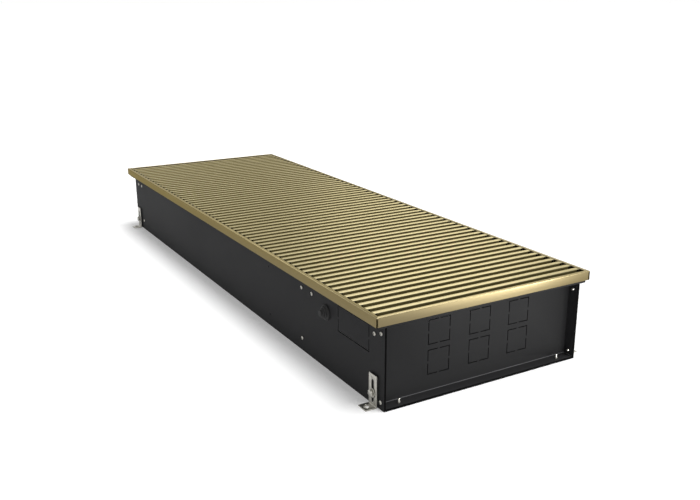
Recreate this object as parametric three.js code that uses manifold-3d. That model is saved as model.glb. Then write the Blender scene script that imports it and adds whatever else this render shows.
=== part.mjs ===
// Trench convector heater: a folded steel casing for a floor trench, with a brass-coloured
// frame, a roll-up slat grille, a finned heat exchanger, a tangential fan and a connection
// compartment. Millimetres. X runs along the trench towards the end with the pipe
// knockouts, Z is up, and the origin is on the floor in the middle of the casing.

import * as THREE from 'three';
import { mergeVertices } from 'three/addons/utils/BufferGeometryUtils.js';
import Module from 'manifold-3d';

const wasm = await Module();
wasm.setup();

// ---- overall
const FRAME_LENGTH = 1200;
const FRAME_WIDTH = 406;
const HEIGHT = 150; // floor to the top of the frame
const SIDE_OVERHANG = 17; // frame beyond the casing's walls
const END_OVERHANG = 3.5; // frame beyond the casing's ends
const SHEET = 1.5; // folded sheet
const SEAT = 0.3; // clearance between a piece and what it rests on or passes through

// ---- frame
const FRAME_FACE = 15; // height of the frame's outer face
const FRAME_LIP = 6; // width of the frame's top
const FRAME_OUTER_WALL = 1.8;
const FRAME_INNER_WALL = 1.5;
const FRAME_TOP = 1.8;
const FRAME_SEAT = 1; // how far the frame's inner wall stands on the flange
const FACE_NOTCH = 3; // the end pieces' faces stop this far short of the corners
const KEY_LEG = 24;
const KEY_HEIGHT = 8;

// ---- casing and end plates
const FLANGE_LIP = 4.5; // height of the flange's turned-down edge
const NEAR_INSET = 20; // near end plate, from the casing's end
const FAR_INSET = 42.5;
const FAR_FLANGE = 21.5; // inward flanges of the far end plate
const FAR_TAB = 18; // tabs that hold the far plate's top to the walls
const FAR_TAB_DROP = 34;
const KNOCKOUT = 39; // square pipe knockouts in the near end plate
const KNOCKOUT_PITCH_Y = 77;
const KNOCKOUT_PITCH_Z = 48.5;
const KNOCKOUT_ROW_DROP = 36.4; // upper row's centre below the flange
const CUT_WIDTH = 1.4; // width of a knockout's cut line
const CUT_TAB = 4; // sheet left at the middle of each side
const CABLE_KNOCKOUT_WIDTH = 90;
const CABLE_KNOCKOUT_HEIGHT = 42;
const CABLE_KNOCKOUT_FROM_END = 88;
const CABLE_KNOCKOUT_DROP = 34.7; // its centre below the flange
const SMALL_HOLE = 3; // diameter of the spare fixing holes
const SMALL_HOLE_FROM_END = 383;

// ---- rivets
const RIVET_HEAD = 6.5;
const RIVET_RISE = 1.5;
const RIVET_CROWN = 5.2; // width at the top of the head's shoulder
const RIVET_SHOULDER = 1.05; // height of that shoulder
const RIVET_SHANK = 4;
const SCREW_TAIL = 3; // cover screw below its rail
const PLATE_RIVET_FROM_END = 10;
const PLATE_RIVET_DROP = 16;
const PLATE_RIVET_HEIGHT = 11.5;
const RAIL_RIVETS_FROM_END = [28, 219.5];
const UPPER_RIVET_DROP = 22.2;
const LOWER_RIVET_HEIGHT = 22;
const FAR_TAB_RIVET_FROM_END = 28;
const LIP_RIVET_FROM_END = 9;
const LIP_RIVET_FROM_WALL = 29.5;

// ---- grille
const SLAT_PITCH = 19.3;
const SLAT_TOP = 9;
const SLAT_BOTTOM = 4;
const SLAT_DROP = 0.3; // slat tops below the frame's top
const SLAT_END_GAP = 1.3;
const GRILLE_END_GAP = 10.4; // least gap from the frame to the first slat
const STRIP_WIDTH = 8;
const STRIP_THICKNESS = 2;
const STRIP_FROM_FRAME = 1.5;
const WIRE = 4; // spring wire in its sleeve
const WIRE_FROM_SLAT_END = 75.7;
const WIRE_BELOW_TOP = 7.2;
const HINGE_GAP = 0.95; // half the gap between the wire's lengths at a rolling joint
const ROLLING_SLATS = 7;

// ---- levelling brackets
const BRACKET_WIDTH = 21;
const BRACKET_HEIGHT = 51;
const BRACKET_SHEET = 2;
const BRACKET_BEND = 1.2; // slope on the outside of its bend
const BRACKET_FROM_WEB = 4; // bolt's axis from the near end plate
const FOOT_REACH = 22; // from the wall to the foot's edge
const FOOT_HOLE = 8;
const FOOT_HOLE_FROM_EDGE = 8.5;
const PAD_THICKNESS = 1.5;
const SLOT_WIDTH = 6.6;
const SLOT_LOW = 7;
const SLOT_HIGH = 43;
const BOLT_HEIGHT = 22;
const BOLT_SHANK = 5.4;
const BOLT_HEAD = 11.5; // across corners
const BOLT_HEAD_HEIGHT = 4;
const WASHER = 14;
const WASHER_THICKNESS = 1.4;
const RIVET_NUT_WALL = 0.7;
const RIVET_NUT_LENGTH = 9;

// ---- cable grommet
const GROMMET_FROM_END = 171;
const GROMMET_BELOW_RAIL = 1;
const GROMMET_HOLE = 20;
const GROMMET_FLANGE = 26;
const GROMMET_BACK = 23.4; // flange behind the wall
const GROMMET_REACH = 12;
const GROMMET_STEPS = [20.8, 16.12, 11.44]; // widths of the steps before its flange
const GROMMET_TAPER = 0.78; // how far each step narrows on each side
const GROMMET_MOUTH = 11.64; // width of its hollow at the back
const GROMMET_TIP = 5.2; // width of its hollow at the tip

// ---- connection compartment
const PARTITION_FROM_END = 265; // near face of the partition's web
const PARTITION_FLANGE = 21;
const PARTITION_RIVET_FROM_END = 255.5;
const COVER_DROP = 16; // cover rails below the flange
const COVER_SHEET = 1.2;
const RAIL_DROP = 9; // leg against the wall
const RAIL_LEG = 14; // leg under the cover
const COVER_SCREW_FROM_END = 60;
const BOX_LENGTH = 110; // terminal box
const BOX_WIDTH = 62;
const BOX_HEIGHT = 60;
const BOX_WALL = 2.5;
const BOX_FROM_PARTITION = 66;
const BOX_FROM_WALL = 9;
const BLOCK_LENGTH = 70;
const BLOCK_WIDTH = 22;
const BLOCK_HEIGHT = 18;
const LEAD = 6; // the motor's lead
const LEAD_NOTCH = 13; // its notch in the partition
const LEAD_FROM_SHAFT = 52; // its run along the floor, from the fan's shaft
const LEAD_ENTRY_HEIGHT = 20; // its hole in the box, above the box's underside

// ---- heat exchanger
const TUBE = 15;
const TUBE_WALL = 1;
const TUBE_SPACING_Y = 75;
const TUBE_SPACING_Z = 35;
const TUBE_HEIGHT = 39.5; // lower tubes above the floor
const EXCHANGER_FROM_WALL = 119.5; // exchanger's middle from the +Y wall
const FIN_MARGIN_Y = 37.5; // fin beyond the tubes
const FIN_MARGIN_Z = 17.5;
const FIN_THICKNESS = 1;
const FIN_COUNT = 14;
const FIN_FAR_CLEAR = 60; // far end plate to the first fin
const FIN_NEAR_CLEAR = 72; // last fin to the partition
const COLLAR_WALL = 0.8;
const BRACKET_PLATE = 2;
const BRACKET_FOOT = 14;
const PLATE_STANDOFF = 6; // end bracket from the last fin
const TUBE_PAST_BRACKET = 7;
const TUBE_CLEAR = 2; // round a tube where it passes the partition
const BEND_LAP = 1; // bends run this far into the tubes
const UNION_NUT = 30;
const UNION_NUT_LENGTH = 12;
const UNION_NIPPLE = 21;
const UNION_NIPPLE_LENGTH = 18;
const UNION_FROM_PARTITION = 22;
const VALVE = 12;
const VALVE_HEIGHT = 12;
const BLEED_SCREW = 7;
const BLEED_SCREW_HEIGHT = 4;
const BLEED_SLOT = 1; // width of its driver slot
const BLEED_SLOT_DEPTH = 1.2;

// ---- fan
const WHEEL = 60;
const BLADE_DEPTH = 7;
const BLADE_THICKNESS = 1;
const BLADES = 12;
const BLADE_FROM_RIM = 1; // blade's outer edge inside the discs' rim
const DISC_THICKNESS = 2;
const SHAFT = 8;
const SCROLL_GAP = 4;
const SCROLL_SHEET = 1;
const SCROLL_TAIL = 75;
const FAN_FROM_WALL = 89.5; // shaft from the -Y wall
const MOTOR = 56;
const MOTOR_LENGTH = 80;
const MOTOR_WHEEL_GAP = 8;
const CRADLE_LENGTH = 40;
const BEARING_PLATE = 3;
const BEARING_PLATE_WIDTH = 26;
const BEARING_HOUSING = 16;
const BEARING_LENGTH = 7;
const WHEEL_END_GAP = 6; // wheel to its bearing plate
const FAN_FAR_CLEAR = 40;
const FAN_NEAR_CLEAR = 55;

// ---- how round pieces and cuts are made
const WIRE_SIDES = 4;
const HEXAGON = 6;
const SMALL_SIDES = 8; // rivets, shanks, tubes and their bores
const MIDDLE_SIDES = 12; // nipples, bearings and the motor
const WIDE_SIDES = 16; // washers and the grommet
const SLOT_END_SIDES = 3; // each round end of a bracket's slot
const BEND_SIDES = 8; // along a tube's half-circle bend
const SCROLL_SIDES = 10; // along a scroll housing's arc
const LEAD_SIDES = 36; // along the motor's lead
const OVERCUT = 1; // how far a cutting tool stands out of what it cuts

// ---- places worked out from the sizes above
const frameX = FRAME_LENGTH / 2;
const frameY = FRAME_WIDTH / 2;
const casingX = frameX - END_OVERHANG;
const casingY = frameY - SIDE_OVERHANG;
const innerY = casingY - SHEET;
const plateY = innerY - SEAT; // what fits between the walls
const floorTop = SHEET + SEAT; // what stands on the casing's floor
const flangeTop = HEIGHT - FRAME_FACE - SEAT;
const flangeUnder = flangeTop - SHEET;
const flangeY = frameY - FRAME_LIP + FRAME_SEAT;
const lipBottom = flangeTop - FLANGE_LIP;
const nearWeb = casingX - NEAR_INSET;
const farWeb = casingX - FAR_INSET;
const partitionX = casingX - PARTITION_FROM_END;
const compartmentStart = partitionX + PARTITION_FLANGE + SEAT;
const compartmentEnd = nearWeb - SHEET - SEAT;
const railTop = flangeTop - COVER_DROP;
const grommetX = casingX - GROMMET_FROM_END;
const grommetZ = railTop - RAIL_DROP - GROMMET_BELOW_RAIL - GROMMET_BACK / 2;

const slatTopZ = HEIGHT - SLAT_DROP;
const stripBottomZ = flangeTop + SEAT;
const slatBottomZ = stripBottomZ + STRIP_THICKNESS + SEAT;
const slatHalf = frameY - FRAME_LIP - SLAT_END_GAP;
const wireY = slatHalf - WIRE_FROM_SLAT_END;
const wireZ = slatTopZ - WIRE_BELOW_TOP;
const slatSpan = FRAME_LENGTH - 2 * (FRAME_LIP + GRILLE_END_GAP) - SLAT_TOP;
const slatCount = Math.floor(slatSpan / SLAT_PITCH) + 1;
const firstSlatX = (slatCount - 1) * SLAT_PITCH / 2;
const slatX = (index) => firstSlatX - index * SLAT_PITCH;

const bracketInner = casingY + SEAT + PAD_THICKNESS + SEAT;
const bracketOuter = bracketInner + BRACKET_SHEET;
const bracketX = nearWeb - SHEET - BRACKET_FROM_WEB;
const washerInner = bracketOuter + SEAT;

const exchangerY = innerY - EXCHANGER_FROM_WALL;
const tubeRows = [exchangerY - TUBE_SPACING_Y / 2, exchangerY + TUBE_SPACING_Y / 2];
const upperTubeZ = TUBE_HEIGHT + TUBE_SPACING_Z;
const firstFinX = -farWeb + FIN_FAR_CLEAR;
const lastFinX = partitionX - FIN_NEAR_CLEAR;
const farBracketX = firstFinX - PLATE_STANDOFF - BRACKET_PLATE;
const nearBracketX = lastFinX + FIN_THICKNESS + PLATE_STANDOFF;
const tubeFarX = farBracketX - TUBE_PAST_BRACKET;
const tubeNearX = nearBracketX + BRACKET_PLATE + TUBE_PAST_BRACKET;
const unionX = partitionX + UNION_FROM_PARTITION;
const bendRadius = TUBE_SPACING_Y / 2;
const valveX = tubeNearX + bendRadius;
const valveBottom = upperTubeZ + TUBE / 2 + SEAT;

const scrollInner = WHEEL / 2 + SCROLL_GAP;
const fanY = -innerY + FAN_FROM_WALL;
const fanZ = floorTop + SCROLL_SHEET + scrollInner;
const fanStart = -farWeb + FAN_FAR_CLEAR;
const fanEnd = partitionX - FAN_NEAR_CLEAR;
const fanMiddle = (fanStart + fanEnd) / 2;
const motorStart = fanMiddle - MOTOR_LENGTH / 2;
const motorEnd = fanMiddle + MOTOR_LENGTH / 2;
const wheelSpans = [[fanStart, motorStart - MOTOR_WHEEL_GAP], [motorEnd + MOTOR_WHEEL_GAP, fanEnd]];
const bearingPlates = [fanStart - WHEEL_END_GAP - BEARING_PLATE, fanEnd + WHEEL_END_GAP];

const boxX = partitionX + BOX_FROM_PARTITION;
const boxY = -innerY + BOX_FROM_WALL;
const leadY = fanY + LEAD_FROM_SHAFT;

// ---- finishes
const finish = (color, roughness, metalness) => ({ color, roughness, metalness });
const BLACK_COAT = finish(0x2e2e2e, 0.5, 0.1);
const BRASS_ANODISED = finish(0xa8966a, 0.35, 0.9);
const SLAT_ANODISED = finish(0xd8cda0, 0.35, 0.85);
const ZINC = finish(0xb9b7ae, 0.35, 0.9);
const RUBBER = finish(0x181818, 0.85, 0);
const COPPER = finish(0xb87450, 0.35, 0.9);
const ALUMINIUM = finish(0xc4c6c8, 0.4, 0.9);
const BRASS = finish(0xb59a50, 0.35, 0.9);
const SPRING_STEEL = finish(0x8d8d88, 0.35, 0.9);
const BLACK_PLASTIC = finish(0x202020, 0.6, 0);
const GREY_PLASTIC = finish(0xa6a8a6, 0.6, 0);
const GALVANISED = finish(0xa3a7a8, 0.5, 0.8);

// ---- making solids
const GRID = 1 / 512; // corners lie on this grid, so that shared faces meet exactly

const AXIS_BASIS = {
  x: new THREE.Matrix4().set(0, 0, 1, 0, 1, 0, 0, 0, 0, 1, 0, 0, 0, 0, 0, 1),
  y: new THREE.Matrix4().set(1, 0, 0, 0, 0, 0, -1, 0, 0, 1, 0, 0, 0, 0, 0, 1),
  z: new THREE.Matrix4(),
};

function outlineShape(points) {
  return new THREE.Shape(points.map(([u, v]) => new THREE.Vector2(u, v)));
}

// A prism along one axis. Its outline is in (y, z) for x, in (x, z) for y, in (x, y) for z.
function prism(axis, outline, from, to, holes = []) {
  const shape = outlineShape(outline);
  shape.holes = holes.map(outlineShape);
  const geometry = new THREE.ExtrudeGeometry(shape, { depth: to - from, bevelEnabled: false });
  geometry.applyMatrix4(AXIS_BASIS[axis]);
  const shift = { x: [from, 0, 0], y: [0, to, 0], z: [0, 0, from] }[axis];
  return geometry.translate(...shift);
}

function block(x0, x1, y0, y1, z0, z1) {
  const size = [Math.abs(x1 - x0), Math.abs(y1 - y0), Math.abs(z1 - z0)];
  const geometry = new THREE.BoxGeometry(...size);
  return geometry.translate((x0 + x1) / 2, (y0 + y1) / 2, (z0 + z1) / 2);
}

function circle(u, v, diameter, sides) {
  return indexes(0, sides).map((i) => {
    const angle = 2 * Math.PI * (i + 0.5) / sides;
    return [u + diameter / 2 * Math.cos(angle), v + diameter / 2 * Math.sin(angle)];
  });
}

const rectangle = (u0, u1, v0, v1) => [[u0, v0], [u1, v0], [u1, v1], [u0, v1]];

const indexes = (from, to) => Array.from({ length: to - from }, (_, i) => from + i);

// How wide a bore is that clears a round piece, where both have as many sides.
const boreFor = (diameter, sides) => diameter + 2 * SEAT / Math.cos(Math.PI / sides);

// A turned piece: profile points are [radius, height], and the height runs along `outward`.
function turned(profile, sides, outward) {
  const points = profile.map(([radius, height]) => new THREE.Vector2(radius, height));
  const geometry = new THREE.LatheGeometry(points, sides);
  const up = new THREE.Vector3(0, 1, 0);
  const turn = new THREE.Quaternion().setFromUnitVectors(up, new THREE.Vector3(...outward));
  return geometry.applyQuaternion(turn);
}

function tubeAlong(curve, diameter, sides, steps) {
  const shape = outlineShape(circle(0, 0, diameter, sides));
  return new THREE.ExtrudeGeometry(shape, { steps, extrudePath: curve, bevelEnabled: false });
}

function signedVolume(position, index) {
  const corners = [new THREE.Vector3(), new THREE.Vector3(), new THREE.Vector3()];
  let volume = 0;
  for (let i = 0; i < index.count; i += 3) {
    corners.forEach((corner, k) => corner.fromBufferAttribute(position, index.getX(i + k)));
    volume += corners[0].dot(corners[1].clone().cross(corners[2])) / 6;
  }
  return volume;
}

// Puts a geometry's corners on a fine grid, welds them and turns its faces outwards.
function welded(geometry) {
  geometry.deleteAttribute('normal');
  geometry.deleteAttribute('uv');
  const { array } = geometry.attributes.position;
  array.forEach((value, i) => {
    array[i] = Math.round(value / GRID) * GRID;
  });
  const merged = mergeVertices(geometry, GRID / 4);
  if (signedVolume(merged.attributes.position, merged.index) < 0) {
    merged.index.array.reverse();
  }
  return merged;
}

function toManifold(geometry) {
  const merged = welded(geometry);
  return new wasm.Manifold(new wasm.Mesh({
    numProp: 3,
    vertProperties: new Float32Array(merged.attributes.position.array),
    triVerts: new Uint32Array(merged.index.array),
  }));
}

function fromManifold(manifold) {
  const mesh = manifold.getMesh();
  const geometry = new THREE.BufferGeometry();
  geometry.setAttribute('position', new THREE.BufferAttribute(mesh.vertProperties, 3));
  geometry.setIndex(new THREE.BufferAttribute(mesh.triVerts, 1));
  return geometry;
}

// Joins the first list of geometries and cuts the second list out of them. Each step's flat
// faces are made whole again, so that no sliver is left where pieces met.
function carve(added, removed = []) {
  const join = (whole, piece) => whole.add(piece).asOriginal();
  const cut = (whole, tool) => whole.subtract(tool).asOriginal();
  return fromManifold(removed.map(toManifold).reduce(cut, added.map(toManifold).reduce(join)));
}

const heater = new THREE.Group();

function place(name, geometry, look) {
  const mesh = new THREE.Mesh(welded(geometry), new THREE.MeshStandardMaterial(look));
  mesh.name = name;
  heater.add(mesh);
}

const SIDES = [-1, 1];
const CORNERS = SIDES.flatMap((end) => SIDES.map((side) => [end, side]));

// ---- casing
// Cut lines of a knockout in its own plane: each corner's L leaves a tab mid-side.
function knockoutCuts(u, v, width, height) {
  return CORNERS.flatMap(([a, b]) => {
    const outerU = u + a * (width + CUT_WIDTH) / 2;
    const innerU = u + a * (width - CUT_WIDTH) / 2;
    const outerV = v + b * (height + CUT_WIDTH) / 2;
    const innerV = v + b * (height - CUT_WIDTH) / 2;
    return [
      [outerU, u + a * CUT_TAB / 2, outerV, innerV],
      [outerU, innerU, outerV, v + b * CUT_TAB / 2],
    ];
  });
}

// Places of the rivets in each side wall, as [x, z].
const upperRivetZ = flangeTop - UPPER_RIVET_DROP;
const nearPlateRivets = [
  [casingX - PLATE_RIVET_FROM_END, flangeTop - PLATE_RIVET_DROP],
  [casingX - PLATE_RIVET_FROM_END, PLATE_RIVET_HEIGHT],
];
const railRivets = RAIL_RIVETS_FROM_END.map((distance) => [casingX - distance, upperRivetZ]);
const partitionRivets = [
  [casingX - PARTITION_RIVET_FROM_END, upperRivetZ],
  [casingX - PARTITION_RIVET_FROM_END, LOWER_RIVET_HEIGHT],
];
const farPlateRivets = [
  [-casingX + FAR_TAB_RIVET_FROM_END, upperRivetZ],
  [-farWeb + FAR_FLANGE / 2, upperRivetZ],
  [-farWeb + FAR_FLANGE / 2, LOWER_RIVET_HEIGHT],
];
const wallRivets = [...nearPlateRivets, ...railRivets, ...partitionRivets, ...farPlateRivets];

// Rivets through the bottom lips of both end plates, as [x, y].
const lipRivets = SIDES.flatMap((side) => [
  [casingX - LIP_RIVET_FROM_END, side * (innerY - LIP_RIVET_FROM_WALL)],
  [-farWeb + FAR_FLANGE / 2, side * (innerY - LIP_RIVET_FROM_WALL)],
]);

const wallHole = (x, z, diameter) => (
  prism('y', circle(x, z, diameter, SMALL_SIDES), -frameY, frameY)
);
const floorHole = (x, y, diameter) => (
  prism('z', circle(x, y, diameter, SMALL_SIDES), -OVERCUT, SHEET + OVERCUT)
);
const rivetBore = RIVET_SHANK + 3 * SEAT;

const casingSection = [
  [-casingY, 0], [-casingY, flangeUnder], [-flangeY + SHEET, flangeUnder],
  [-flangeY + SHEET, lipBottom], [-flangeY, lipBottom], [-flangeY, flangeTop],
  [-innerY, flangeTop], [-innerY, SHEET], [innerY, SHEET], [innerY, flangeTop],
  [flangeY, flangeTop], [flangeY, lipBottom], [flangeY - SHEET, lipBottom],
  [flangeY - SHEET, flangeUnder], [casingY, flangeUnder], [casingY, 0],
];

function casing() {
  const trimBottom = lipBottom - SEAT;
  const trims = [[nearWeb - SHEET - SEAT, frameX], [-frameX, -farWeb + SHEET + SEAT]].map(
    ([from, to]) => block(from, to, -frameY, frameY, trimBottom, HEIGHT),
  );
  const knockoutX = casingX - CABLE_KNOCKOUT_FROM_END;
  const knockoutZ = flangeTop - CABLE_KNOCKOUT_DROP;
  const cuts = knockoutCuts(knockoutX, knockoutZ, CABLE_KNOCKOUT_WIDTH, CABLE_KNOCKOUT_HEIGHT);
  const grommetHole = prism('y', circle(grommetX, grommetZ, GROMMET_HOLE, WIDE_SIDES), -frameY, 0);
  const spareHoles = [upperRivetZ, LOWER_RIVET_HEIGHT];
  const nutWidth = boltBore + 2 * RIVET_NUT_WALL;
  const nutOutline = (x) => circle(x, BOLT_HEIGHT, nutWidth, SMALL_SIDES);
  const rivetNuts = CORNERS.map(([end, side]) => (
    acrossWall(end, side, nutOutline, innerY - RIVET_NUT_LENGTH, innerY + SHEET / 2)
  ));
  return carve([prism('x', casingSection, -casingX, casingX), ...rivetNuts], [
    ...trims,
    ...cuts.map(([x0, x1, z0, z1]) => block(x0, x1, -frameY, 0, z0, z1)),
    grommetHole,
    ...spareHoles.map((z) => wallHole(casingX - SMALL_HOLE_FROM_END, z, SMALL_HOLE)),
    ...wallRivets.map(([x, z]) => wallHole(x, z, rivetBore)),
    ...lipRivets.map(([x, y]) => floorHole(x, y, rivetBore)),
    ...SIDES.map((end) => wallHole(end * bracketX, BOLT_HEIGHT, boltBore)),
  ]);
}

// The web, top flange and turned-down edges that both end plates have.
function plateTop(end, web) {
  const back = end * (web - SHEET);
  const edge = end * casingX;
  return [
    block(back, end * web, -plateY, plateY, floorTop, flangeTop),
    block(back, edge, -flangeY, flangeY, flangeUnder, flangeTop),
    block(edge - end * SHEET, edge, -flangeY, flangeY, lipBottom, flangeTop),
    ...SIDES.map((side) => block(
      back, edge, side * (flangeY - SHEET), side * flangeY, lipBottom, flangeTop,
    )),
  ];
}

// A domed rivet: its head lies on the far face of the sheet that it passes, and its tail is
// fused to the piece that it holds.
function rivet(x, y, z, outward) {
  const profile = [
    [0, -SHEET - 2 * SEAT], [RIVET_SHANK / 2, -SHEET - 2 * SEAT], [RIVET_SHANK / 2, SEAT],
    [RIVET_HEAD / 2, SEAT], [RIVET_CROWN / 2, SEAT + RIVET_SHOULDER], [0, SEAT + RIVET_RISE],
  ];
  return turned(profile, SMALL_SIDES, outward).translate(x, y, z);
}

const rivetsThroughWalls = (places) => places.flatMap(([x, z]) => (
  SIDES.map((side) => rivet(x, side * casingY, z, [0, side, 0]))
));

// Rivets in a bottom lip, closed from above: the tails stay level with the casing's underside.
const rivetsInLip = (places) => places.map(([x, y]) => {
  const top = floorTop + SHEET;
  return turned([
    [0, -top], [RIVET_SHANK / 2, -top], [RIVET_SHANK / 2, 0], [RIVET_HEAD / 2, 0],
    [RIVET_CROWN / 2, RIVET_SHOULDER], [0, RIVET_RISE],
  ], SMALL_SIDES, [0, 0, 1]).translate(x, y, top);
});

const sideWall = (side, x0, x1, z0, z1) => (
  block(x0, x1, side * (plateY - SHEET), side * plateY, z0, z1)
);

function nearEndPlate() {
  const back = nearWeb - SHEET;
  const edge = casingX - SEAT;
  const upperRow = flangeTop - KNOCKOUT_ROW_DROP;
  const rows = [upperRow, upperRow - KNOCKOUT_PITCH_Z];
  const columns = [-KNOCKOUT_PITCH_Y, 0, KNOCKOUT_PITCH_Y];
  const cuts = rows.flatMap((z) => columns.flatMap((y) => knockoutCuts(y, z, KNOCKOUT, KNOCKOUT)));
  return carve([
    ...plateTop(1, nearWeb),
    block(back, edge, -plateY, plateY, floorTop, floorTop + SHEET),
    ...SIDES.map((side) => sideWall(side, back, edge, floorTop, flangeTop)),
    ...rivetsThroughWalls(nearPlateRivets),
    ...rivetsInLip(lipRivets.filter(([x]) => x > 0)),
  ], cuts.map(([y0, y1, z0, z1]) => block(back - SHEET, nearWeb + SHEET, y0, y1, z0, z1)));
}

function farEndPlate() {
  const back = -farWeb + FAR_FLANGE;
  const tabX = -casingX + FAR_TAB_RIVET_FROM_END;
  return carve([
    ...plateTop(-1, farWeb),
    block(-farWeb, back, -plateY, plateY, floorTop, floorTop + SHEET),
    ...SIDES.map((side) => sideWall(side, -farWeb, back, floorTop, flangeUnder)),
    ...SIDES.map((side) => sideWall(
      side, tabX - FAR_TAB / 2, tabX + FAR_TAB / 2, flangeTop - FAR_TAB_DROP, flangeTop,
    )),
    ...rivetsThroughWalls(farPlateRivets),
    ...rivetsInLip(lipRivets.filter(([x]) => x < 0)),
  ]);
}

// ---- frame
// Outline of a profile's strip in plan, mitred at both ends: `outer` and `inner` are
// distances from the middle, `reach` is where the outer edge meets the corner.
function mitredStrip(side, along, across, outer, inner) {
  const out = along - (across - outer);
  const back = along - (across - inner);
  return [[-out, side * outer], [out, side * outer], [back, side * inner], [-back, side * inner]];
}

const mitreCut = SEAT / Math.SQRT2;

function frameStrip(lengthways, side, outer, inner, z0, z1) {
  const along = (lengthways ? frameX : frameY) - mitreCut;
  const across = lengthways ? frameY : frameX;
  const strip = mitredStrip(side, along, across, outer, inner);
  const outline = lengthways ? strip : strip.map(([u, v]) => [v, u]);
  return prism('z', outline, z0, z1);
}

function frameSide(side) {
  const bottom = flangeTop + SEAT;
  const face = frameY - FRAME_OUTER_WALL;
  const back = frameY - FRAME_LIP;
  const end = frameX;
  return carve([
    frameStrip(true, side, frameY, back, HEIGHT - FRAME_TOP, HEIGHT),
    block(-end, end, side * face, side * frameY, bottom, HEIGHT - FRAME_TOP - mitreCut),
    frameStrip(true, side, frameY, face, HEIGHT - FRAME_TOP - 2 * mitreCut, HEIGHT),
    frameStrip(true, side, back + FRAME_INNER_WALL, back, bottom, HEIGHT),
  ]);
}

function frameEnd(end) {
  const bottom = flangeTop + SEAT;
  const face = frameX - FRAME_OUTER_WALL;
  const back = frameX - FRAME_LIP;
  const half = frameY - FACE_NOTCH;
  return carve([
    frameStrip(false, end, frameX, back, HEIGHT - FRAME_TOP, HEIGHT),
    block(end * face, end * frameX, -half, half, bottom, HEIGHT),
    frameStrip(false, end, back + FRAME_INNER_WALL, back, bottom, HEIGHT),
  ]);
}

// An L-shaped key inside the hollow profiles at one corner.
function cornerKey(end, side) {
  const outX = frameX - FRAME_OUTER_WALL - SEAT;
  const outY = frameY - FRAME_OUTER_WALL - SEAT;
  const inX = frameX - FRAME_LIP + FRAME_INNER_WALL + SEAT;
  const inY = frameY - FRAME_LIP + FRAME_INNER_WALL + SEAT;
  const top = HEIGHT - FRAME_TOP - SEAT;
  const outline = [
    [outX - KEY_LEG, inY], [inX, inY], [inX, outY - KEY_LEG],
    [outX, outY - KEY_LEG], [outX, outY], [outX - KEY_LEG, outY],
  ].map(([x, y]) => [end * x, side * y]);
  return prism('z', outline, top - KEY_HEIGHT, top);
}

// ---- grille
function slatAt(index) {
  const top = SLAT_TOP / 2;
  const bottom = SLAT_BOTTOM / 2;
  const section = [
    [-bottom, slatBottomZ], [bottom, slatBottomZ], [top, slatTopZ], [-top, slatTopZ],
  ].map(([x, z]) => [slatX(index) + x, z]);
  return prism('y', section, -slatHalf, slatHalf);
}

const wires = (from, to) => (
  SIDES.map((side) => prism('x', circle(side * wireY, wireZ, WIRE, WIRE_SIDES), from, to))
);

// Slats threaded on their lengths of spring wire, which end just short of the rolling joints.
function slatsOnWire(from, to) {
  const wireEnd = SLAT_PITCH / 2 - HINGE_GAP;
  return carve([
    ...indexes(from, to).map(slatAt),
    ...wires(slatX(to - 1) - wireEnd, slatX(from) + wireEnd),
  ]);
}

function sealStrip(side) {
  const outer = frameY - FRAME_LIP - STRIP_FROM_FRAME;
  const half = frameX - FRAME_LIP - SEAT;
  const bottom = stripBottomZ;
  return block(
    -half, half, side * (outer - STRIP_WIDTH), side * outer, bottom, bottom + STRIP_THICKNESS,
  );
}

// ---- levelling brackets
function slotOutline(x) {
  const radius = SLOT_WIDTH / 2;
  const roundEnd = (middle, start) => indexes(0, SLOT_END_SIDES + 1).map((i) => {
    const angle = start + Math.PI * i / SLOT_END_SIDES;
    return [x + radius * Math.cos(angle), middle + radius * Math.sin(angle)];
  });
  return [...roundEnd(SLOT_HIGH - radius, 0), ...roundEnd(SLOT_LOW + radius, Math.PI)];
}

const footOuter = casingY + FOOT_REACH;

function levelBracket(end, side) {
  const x0 = end * bracketX - BRACKET_WIDTH / 2;
  const section = [
    [bracketInner, BRACKET_BEND], [bracketInner + BRACKET_BEND, 0], [footOuter, 0],
    [footOuter, BRACKET_SHEET], [bracketOuter, BRACKET_SHEET],
    [bracketOuter, BRACKET_HEIGHT], [bracketInner, BRACKET_HEIGHT],
  ].map(([y, z]) => [side * y, z]);
  const holeY = side * (footOuter - FOOT_HOLE_FROM_EDGE);
  const footHole = circle(end * bracketX, holeY, FOOT_HOLE, MIDDLE_SIDES);
  return carve([prism('x', section, x0, x0 + BRACKET_WIDTH)], [
    prism('y', slotOutline(end * bracketX), -frameY - FOOT_REACH, frameY + FOOT_REACH),
    prism('z', footHole, -BRACKET_SHEET, 2 * BRACKET_SHEET),
  ]);
}

const boltBore = boreFor(BOLT_SHANK, SMALL_SIDES);

// A prism across the wall at one levelling bolt, between two distances from the middle.
function acrossWall(end, side, outlineAt, inner, outer, holes = []) {
  const [from, to] = [side * inner, side * outer].sort((a, b) => a - b);
  return prism('y', outlineAt(end * bracketX), from, to, holes);
}

function levelPad(end, side) {
  const half = BRACKET_WIDTH / 2;
  const inner = casingY + SEAT;
  const outline = (x) => (
    rectangle(x - half, x + half, BRACKET_SHEET, BRACKET_HEIGHT - BRACKET_SHEET)
  );
  const hole = circle(end * bracketX, BOLT_HEIGHT, boltBore, SMALL_SIDES);
  return acrossWall(end, side, outline, inner, inner + PAD_THICKNESS, [hole]);
}

const boltHexagon = (x) => circle(x, BOLT_HEIGHT, BOLT_HEAD, HEXAGON);

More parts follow.
